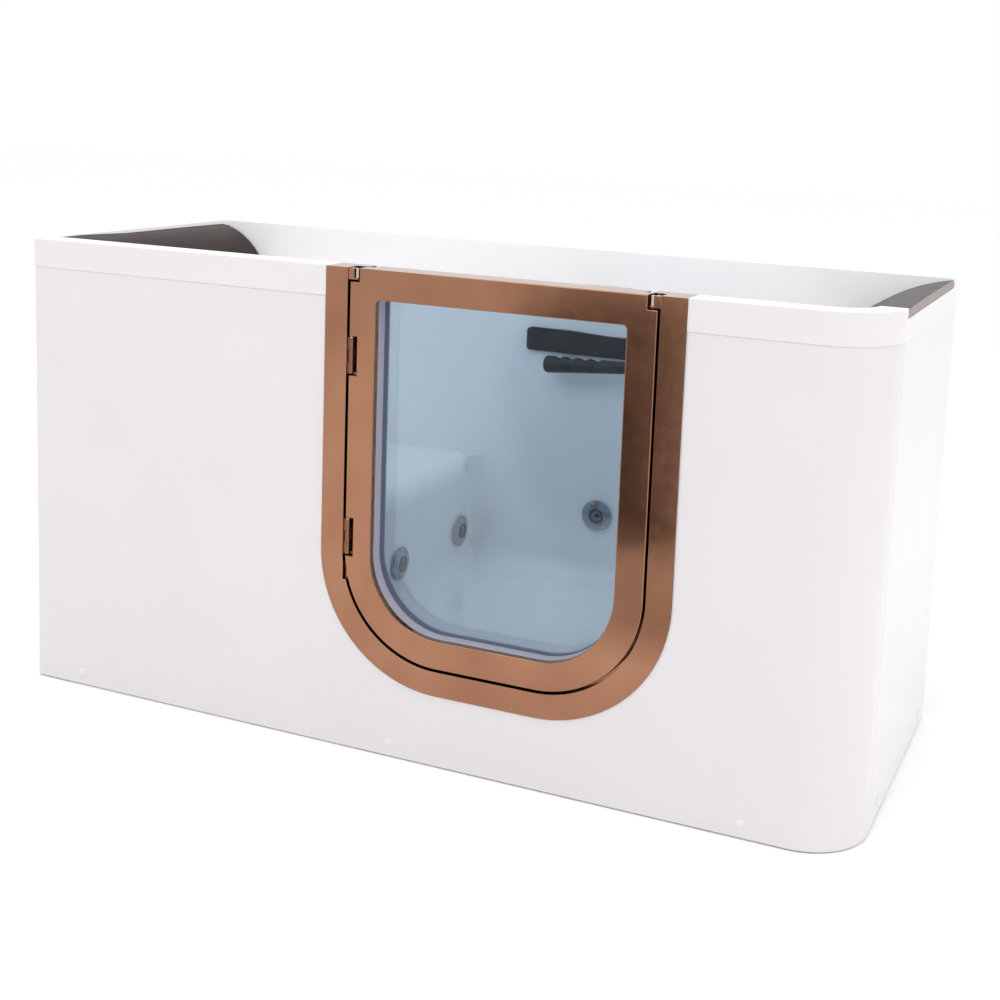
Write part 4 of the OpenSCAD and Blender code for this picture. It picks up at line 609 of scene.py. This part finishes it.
# Leather-like pores, drawn at 4 mm so that they show, and slow changes of sheen over 60 mm.
pad_place = add_node(pad_skin, "ShaderNodeTexCoord")
pad_pore = add_node(pad_skin, "ShaderNodeTexVoronoi", {"Vector": pad_place.outputs["Object"],
                                                       "Scale": 260.0})
pad_bump = add_node(pad_skin, "ShaderNodeBump", {"Height": pad_pore.outputs["Distance"],
                                                 "Strength": 0.12, "Distance": 0.0006})
pad_sheen = add_node(pad_skin, "ShaderNodeTexNoise", {"Vector": pad_place.outputs["Object"],
                                                      "Scale": 16.0})
pad_tone = add_node(pad_skin, "ShaderNodeValToRGB", {"Fac": pad_sheen.outputs["Fac"]})
pad_tone.color_ramp.elements[0].color = linear("#231612")
pad_tone.color_ramp.elements[1].color = linear("#2C1D19")
pad_dull = add_node(pad_skin, "ShaderNodeMapRange", {"Value": pad_sheen.outputs["Fac"], "To Min": 0.32,
                                                     "To Max": 0.46})
join(pad_skin, pad_tone.outputs["Color"], pad_shader.inputs["Base Color"])
join(pad_skin, pad_dull.outputs["Result"], pad_shader.inputs["Roughness"])
join(pad_skin, pad_bump.outputs["Normal"], pad_shader.inputs["Normal"])
# A paler grey for the right rest's outer face, as a painted highlight of the light from the right.
pad_lit_face, pad_lit_face_shader = new_finish("pad_face_painted_highlight", "#8F8280", Roughness=0.55)
pad_lit_face_place = add_node(pad_lit_face, "ShaderNodeTexCoord")
pad_lit_face_cell = add_node(pad_lit_face, "ShaderNodeTexVoronoi", {"Vector": pad_lit_face_place.outputs["Object"],
                                                          "Scale": 500.0})
pad_lit_face_bump = add_node(pad_lit_face, "ShaderNodeBump", {"Height": pad_lit_face_cell.outputs["Distance"],
                                                    "Strength": 0.3, "Distance": 0.0005})
join(pad_lit_face, pad_lit_face_bump.outputs["Normal"], pad_lit_face_shader.inputs["Normal"])
for side in ("left", "right"):
    pad = copy_of(side + "_end_pad", side + "_head_rest")
    pad_low, pad_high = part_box(side + "_end_pad")
    bpy.ops.object.mode_set(mode="EDIT")
    bpy.ops.mesh.tris_convert_to_quads()
    bpy.ops.object.mode_set(mode="OBJECT")
    round_edges(pad, 0.0025, segments=3, sharper_than=40)
    finish_modifier(pad, "SUBSURF", levels=1, render_levels=1)
    if side == "left":
        # The left rest swells a little towards its near end, where it comes up level with the rim.
        swell_all, swell_near, swell_from, swell_over = 0.0018, 0.0062, -0.06, 0.18
        for point in pad.data.vertices:
            near = min(max((swell_from - point.co.y) / swell_over, 0), 1)
            upper = min(max((point.co.z - pad_low.z) / (pad_high.z - pad_low.z) * 2 - 0.9, 0), 1)
            point.co.z += upper * (swell_all + swell_near * near * near * (3 - 2 * near))
    else:
        # The right rest's outer face is coloured paler. This is a painted highlight, where the light
        # from the right falls on it.
        pad.data.materials.append(pad_skin)
        pad.data.materials.append(pad_lit_face)
        lit_face_depth = 0.012
        for face in pad.data.polygons:
            faces_out = face.normal.x > 0.7
            face.material_index = 1 if faces_out and face.center.x > pad_high.x - lit_face_depth else 0
    bpy.ops.object.shade_smooth_by_angle(angle=math.radians(50))
    put(pad, pad_skin, "tub", "pad_foam", side + "_end_pad")

# Grab handle
# Injection-moulded black ABS: a backing plate with rounded edges, and a grip with finger
# hollows on two feet, screwed through the wall.
black_abs, black_shader = new_finish("black_moulded_abs", "#0D0D11", Roughness=0.45, IOR=1.53,
                                    Specular_IOR_Level=0.25)
# Spark-eroded mould texture, drawn at 3 mm.
black_place = add_node(black_abs, "ShaderNodeTexCoord")
black_grain = add_node(black_abs, "ShaderNodeTexNoise", {"Vector": black_place.outputs["Object"],
                                                         "Scale": 350.0})
black_bump = add_node(black_abs, "ShaderNodeBump", {"Height": black_grain.outputs["Fac"],
                                                    "Strength": 0.1, "Distance": 0.0006})
join(black_abs, black_bump.outputs["Normal"], black_shader.inputs["Normal"])
plate = copy_of("grab_handle_plate", "grab_plate")
round_edges(plate, 0.002, segments=3)
put(plate, black_abs, "tub", "black_plastic", "grab_handle_plate")
grip = copy_of("grab_handle_grip", "grab_grip")
round_edges(grip, 0.0016, segments=3, sharper_than=30)
put(grip, black_abs, "tub", "black_plastic", "grab_handle_grip")
dress("grab_handle_screws", black_abs)

# Water jets
# Each white body is clamped through the wall. A chromed bezel turns in it to set the air, and
# a chromed ball nozzle tilts in the bezel.
chrome, chrome_shader = new_finish("chromium_plating", "#D3D6DA", Metallic=1.0, Roughness=0.06)
# Water spots, 5 mm across, leave the plating a little dull.
chrome_place = add_node(chrome, "ShaderNodeTexCoord")
chrome_spot = add_node(chrome, "ShaderNodeTexNoise", {"Vector": chrome_place.outputs["Object"],
                                                      "Scale": 180.0})
chrome_dull = add_node(chrome, "ShaderNodeMapRange", {"Value": chrome_spot.outputs["Fac"],
                                                      "To Min": 0.03, "To Max": 0.12})
join(chrome, chrome_dull.outputs["Result"], chrome_shader.inputs["Roughness"])
pvc, pvc_shader = new_finish("white_rigid_pvc", "#E7E8EA", Roughness=0.3, IOR=1.54)
pvc_place = add_node(pvc, "ShaderNodeTexCoord")
pvc_cloud = add_node(pvc, "ShaderNodeTexNoise", {"Vector": pvc_place.outputs["Object"], "Scale": 30.0})
pvc_tone = add_node(pvc, "ShaderNodeValToRGB", {"Fac": pvc_cloud.outputs["Fac"]})
pvc_tone.color_ramp.elements[0].color = linear("#E1E2E4")
pvc_tone.color_ramp.elements[1].color = linear("#ECEDEF")
join(pvc, pvc_tone.outputs["Color"], pvc_shader.inputs["Base Color"])
satin_chrome, satin_shader = new_finish("satin_chromed_abs", "#A3A7AD", Metallic=1.0, Roughness=0.2)
# The die left a fine grain, about 2 mm across.
satin_place = add_node(satin_chrome, "ShaderNodeTexCoord")
satin_brush = add_node(satin_chrome, "ShaderNodeTexNoise", {"Vector": satin_place.outputs["Object"],
                                                            "Scale": 500.0})
satin_bump = add_node(satin_chrome, "ShaderNodeBump", {"Height": satin_brush.outputs["Fac"],
                                                       "Strength": 0.04, "Distance": 0.0005})
join(satin_chrome, satin_bump.outputs["Normal"], satin_shader.inputs["Normal"])
# The balls' chrome is coloured dark, as painted shade of the socket's recess. Lime clouds it in patches
# about 3 mm wide.
shaded_nozzle_chrome, shaded_nozzle_shader = new_finish("nozzle_chrome_painted_shade", "#767A81", Metallic=1.0,
                                             Roughness=0.1)
dark_chrome_place = add_node(shaded_nozzle_chrome, "ShaderNodeTexCoord")
dark_chrome_lime = add_node(shaded_nozzle_chrome, "ShaderNodeTexNoise",
                            {"Vector": dark_chrome_place.outputs["Object"], "Scale": 300.0})
dark_chrome_dull = add_node(shaded_nozzle_chrome, "ShaderNodeMapRange",
                            {"Value": dark_chrome_lime.outputs["Fac"], "To Min": 0.05,
                             "To Max": 0.2})
join(shaded_nozzle_chrome, dark_chrome_dull.outputs["Result"], shaded_nozzle_shader.inputs["Roughness"])
for number in ("1", "2", "3"):
    dress("jet_body_" + number, pvc)
    bezel = copy_of("jet_bezel_" + number, "bezel_ring_" + number)
    round_edges(bezel, 0.0008)
    put(bezel, satin_chrome, "jet_bezel_" + number, "chrome_trim", "jet_bezel_" + number)
    nozzle = copy_of("jet_nozzle_" + number, "ball_nozzle_" + number)
    round_edges(nozzle, 0.0005)
    put(nozzle, shaded_nozzle_chrome, "jet_nozzle_" + number, "chrome_trim", "jet_nozzle_" + number)

# Socket rings
# A lipped ring of black rubber with two small ridges lies round the mouth of each bezel. It is painted
# shade: a dark thing put where the socket's recess holds shade.
ridge_r, ridge_thick, outer_ridge_r, outer_ridge_thick = 0.0139, 0.0011, 0.0158, 0.0007
for number in ("1", "2", "3"):
    bezel_low, bezel_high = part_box("jet_bezel_" + number)
    middle = (bezel_low + bezel_high) / 2
    on_back_wall = bezel_high.y - bezel_low.y < bezel_high.x - bezel_low.x
    if on_back_wall:
        mouth, turn = (middle.x, bezel_low.y, middle.z), (math.pi / 2, 0, 0)
    else:
        mouth, turn = (bezel_high.x, middle.y, middle.z), (0, math.pi / 2, 0)
    bpy.ops.object.select_all(action="DESELECT")
    bpy.ops.mesh.primitive_torus_add(major_radius=ridge_r, minor_radius=ridge_thick,
                                     major_segments=72, minor_segments=14, location=mouth,
                                     rotation=turn)
    socket_shade_ring = bpy.context.object
    socket_shade_ring.name = "socket_shade_ring_" + number
    bpy.ops.object.transform_apply(location=True, rotation=True, scale=True)
    bpy.ops.object.mode_set(mode="EDIT")
    bpy.ops.mesh.primitive_torus_add(major_radius=outer_ridge_r, minor_radius=outer_ridge_thick,
                                     major_segments=72, minor_segments=12, location=mouth,
                                     rotation=turn)
    bpy.ops.object.mode_set(mode="OBJECT")
    bpy.ops.object.shade_smooth()
    put(socket_shade_ring, rubber, "jet_bezel_" + number, "seal_rubber")

# Suction fitting, drain, overflow and controls
# Chromed brass and ABS fittings with back nuts behind the wall; the waste runs in white pipe.
dress("suction_body", pvc)
dress("suction_cover", chrome)
for node, body in (("drain_body", "tub"), ("drain_plug", "drain_plug"), ("overflow_body", "tub"),
                   ("overflow_knob", "overflow_knob"), ("air_control_collar", "tub"),
                   ("air_control_knob", "air_control_knob"), ("button_collar", "tub"),
                   ("push_button", "push_button")):
    fitting = copy_of(node, node + "_chromed")
    round_edges(fitting, 0.0008)
    put(fitting, chrome, body, "chrome_trim", node)
dress("waste_pipe", pvc)

# Pump and pipes
# A wet end of black glass-filled plastic on a painted aluminium motor, on a galvanised plate,
# joined to suction, jets and air control by rigid white pipe and a thinner air line.
pump_plastic, pump_shader = new_finish("glass_filled_polypropylene", "#2B2E33", Roughness=0.5)
pump_place = add_node(pump_plastic, "ShaderNodeTexCoord")
pump_grain = add_node(pump_plastic, "ShaderNodeTexNoise", {"Vector": pump_place.outputs["Object"],
                                                           "Scale": 500.0})
pump_bump = add_node(pump_plastic, "ShaderNodeBump", {"Height": pump_grain.outputs["Fac"],
                                                      "Strength": 0.2, "Distance": 0.0005})
join(pump_plastic, pump_bump.outputs["Normal"], pump_shader.inputs["Normal"])
motor_paint, motor_shader = new_finish("painted_cast_aluminium", "#55595F", Roughness=0.42, IOR=1.5,
                                       Coat_Weight=0.2)
motor_place = add_node(motor_paint, "ShaderNodeTexCoord")
motor_orange = add_node(motor_paint, "ShaderNodeTexNoise", {"Vector": motor_place.outputs["Object"],
                                                            "Scale": 320.0})
motor_bump = add_node(motor_paint, "ShaderNodeBump", {"Height": motor_orange.outputs["Fac"],
                                                      "Strength": 0.15, "Distance": 0.0005})
join(motor_paint, motor_bump.outputs["Normal"], motor_shader.inputs["Normal"])
air_tube, air_shader = new_finish("milky_pvc_tube", "#CBD2D8", Roughness=0.22, IOR=1.53,
                                  Subsurface_Weight=0.2)
air_place = add_node(air_tube, "ShaderNodeTexCoord")
air_cloud = add_node(air_tube, "ShaderNodeTexNoise", {"Vector": air_place.outputs["Object"],
                                                      "Scale": 25.0})
air_tone = add_node(air_tube, "ShaderNodeValToRGB", {"Fac": air_cloud.outputs["Fac"]})
air_tone.color_ramp.elements[0].color = linear("#C3CBD2")
air_tone.color_ramp.elements[1].color = linear("#D3D9DE")
join(air_tube, air_tone.outputs["Color"], air_shader.inputs["Base Color"])
dress("pump_casing", pump_plastic)
dress("pump_motor", motor_paint)
dress("pump_rotor", bright_steel)
dress("pump_base", galvanised)
dress("suction_pipe", pvc)
dress("water_pipes", pvc)
dress("air_pipes", air_tube)

# Couplings and clips
# Slip couplings of grey PVC, with a rounded collar at each mouth, are glued over every joint of
# the water line. Stainless clips hold the air line on the jets' stubs.
grey_pvc, grey_pvc_shader = new_finish("grey_rigid_pvc", "#C9CCD0", Roughness=0.35, IOR=1.54)
grey_pvc_place = add_node(grey_pvc, "ShaderNodeTexCoord")
grey_pvc_cloud = add_node(grey_pvc, "ShaderNodeTexNoise",
                          {"Vector": grey_pvc_place.outputs["Object"], "Scale": 60.0})
grey_pvc_tone = add_node(grey_pvc, "ShaderNodeValToRGB", {"Fac": grey_pvc_cloud.outputs["Fac"]})
grey_pvc_tone.color_ramp.elements[0].color = linear("#C2C5CA")
grey_pvc_tone.color_ramp.elements[1].color = linear("#CFD2D6")
join(grey_pvc, grey_pvc_tone.outputs["Color"], grey_pvc_shader.inputs["Base Color"])


def collared_sleeve(name, place, turn, bore_r, length, wall, finish, slot_name):
    """A hollow sleeve over a pipe, thicker at both mouths."""
    collar_from, past_the_cut, collar_rise = 0.32 * length, 0.33 * length, wall * 0.6
    bpy.ops.object.select_all(action="DESELECT")
    bpy.ops.mesh.primitive_cylinder_add(vertices=64, radius=bore_r, depth=length,
                                        end_fill_type="NOTHING")
    sleeve = bpy.context.object
    sleeve.name = name
    bpy.ops.object.mode_set(mode="EDIT")
    for cut in (-collar_from, collar_from):
        bpy.ops.mesh.select_all(action="SELECT")
        bpy.ops.mesh.bisect(plane_co=(0, 0, cut), plane_no=(0, 0, 1))
    bpy.ops.object.mode_set(mode="OBJECT")
    finish_modifier(sleeve, "SOLIDIFY", thickness=wall, offset=1)
    outer_r = max(corner.co.xy.length for corner in sleeve.data.vertices)
    bpy.ops.object.mode_set(mode="EDIT")
    bpy.ops.mesh.select_mode(type="FACE")
    bpy.ops.mesh.select_all(action="DESELECT")
    bpy.ops.object.mode_set(mode="OBJECT")
    for face in sleeve.data.polygons:
        outside = face.center.xy.length > outer_r - wall * 0.3
        face.select = outside and abs(face.center.z) > past_the_cut
    bpy.ops.object.mode_set(mode="EDIT")
    bpy.ops.mesh.extrude_region_shrink_fatten(TRANSFORM_OT_shrink_fatten={"value": collar_rise})
    bpy.ops.mesh.select_mode(type="VERT")
    bpy.ops.object.mode_set(mode="OBJECT")
    round_edges(sleeve, wall * 0.25)
    sleeve.rotation_euler = turn
    sleeve.location = place
    bpy.ops.object.transform_apply(location=True, rotation=True, scale=True)
    put(sleeve, finish, "tub", slot_name)


pipe_low, pipe_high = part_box("water_pipes")
air_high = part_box("air_pipes")[1]
pipe_r, pipe_elbow_r = 0.018, 0.0195
air_r, air_elbow_r = 0.008, 0.0095
stub_up, slip = 0.0485, 0.0001
along_x, along_y, upright = (0, math.pi / 2, 0), (math.pi / 2, 0, 0), (0, 0, 0)
for number in ("1", "2", "3"):
    body_low, body_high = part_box("jet_body_" + number)
    bezel_low, bezel_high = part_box("jet_bezel_" + number)
    level = (bezel_low.z + bezel_high.z) / 2
    if number == "3":
        pipe_axis = pipe_high.y - pipe_elbow_r
        joints = [((body_low.x, pipe_axis, level), along_x)]
        stub = ((bezel_low.x + bezel_high.x) / 2, air_high.y - air_elbow_r, level + stub_up)
    else:
        pipe_axis = pipe_low.x + pipe_elbow_r
        joints = [((pipe_axis, body_low.y, level), along_y), ((pipe_axis, body_high.y, level), along_y)]
        stub = (pipe_axis, (bezel_low.y + bezel_high.y) / 2, level + stub_up)
    for end, (place, turn) in enumerate(joints):
        collared_sleeve("water_coupling_" + number + "_" + str(end + 1), place, turn, pipe_r + slip,
                        0.034, 0.0025, grey_pvc, "pipe_plastic")
    collared_sleeve("air_clip_" + number, stub, upright, air_r + slip, 0.010, 0.0012, bright_steel,
                    "bare_steel")
casing_low, casing_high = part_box("pump_casing")
# The pump's mouths have their axes 74 mm above its lowest point and 26 mm in from its side.
wet_end_r, outlet_side, outlet_along = 0.074, 0.026, 0.065
mouth_r, nut_length, nut_wall = 0.0241, 0.022, 0.004
inlet_place = (casing_low.x + nut_length / 2, 0, casing_low.z + wet_end_r)
outlet_place = (casing_low.x + outlet_along, casing_low.y + outlet_side, casing_high.z - nut_length / 2)
collared_sleeve("inlet_union_nut", inlet_place, along_x, mouth_r, nut_length, nut_wall, grey_pvc,
                "pipe_plastic")
collared_sleeve("outlet_union_nut", outlet_place, upright, mouth_r, nut_length, nut_wall, grey_pvc,
                "pipe_plastic")
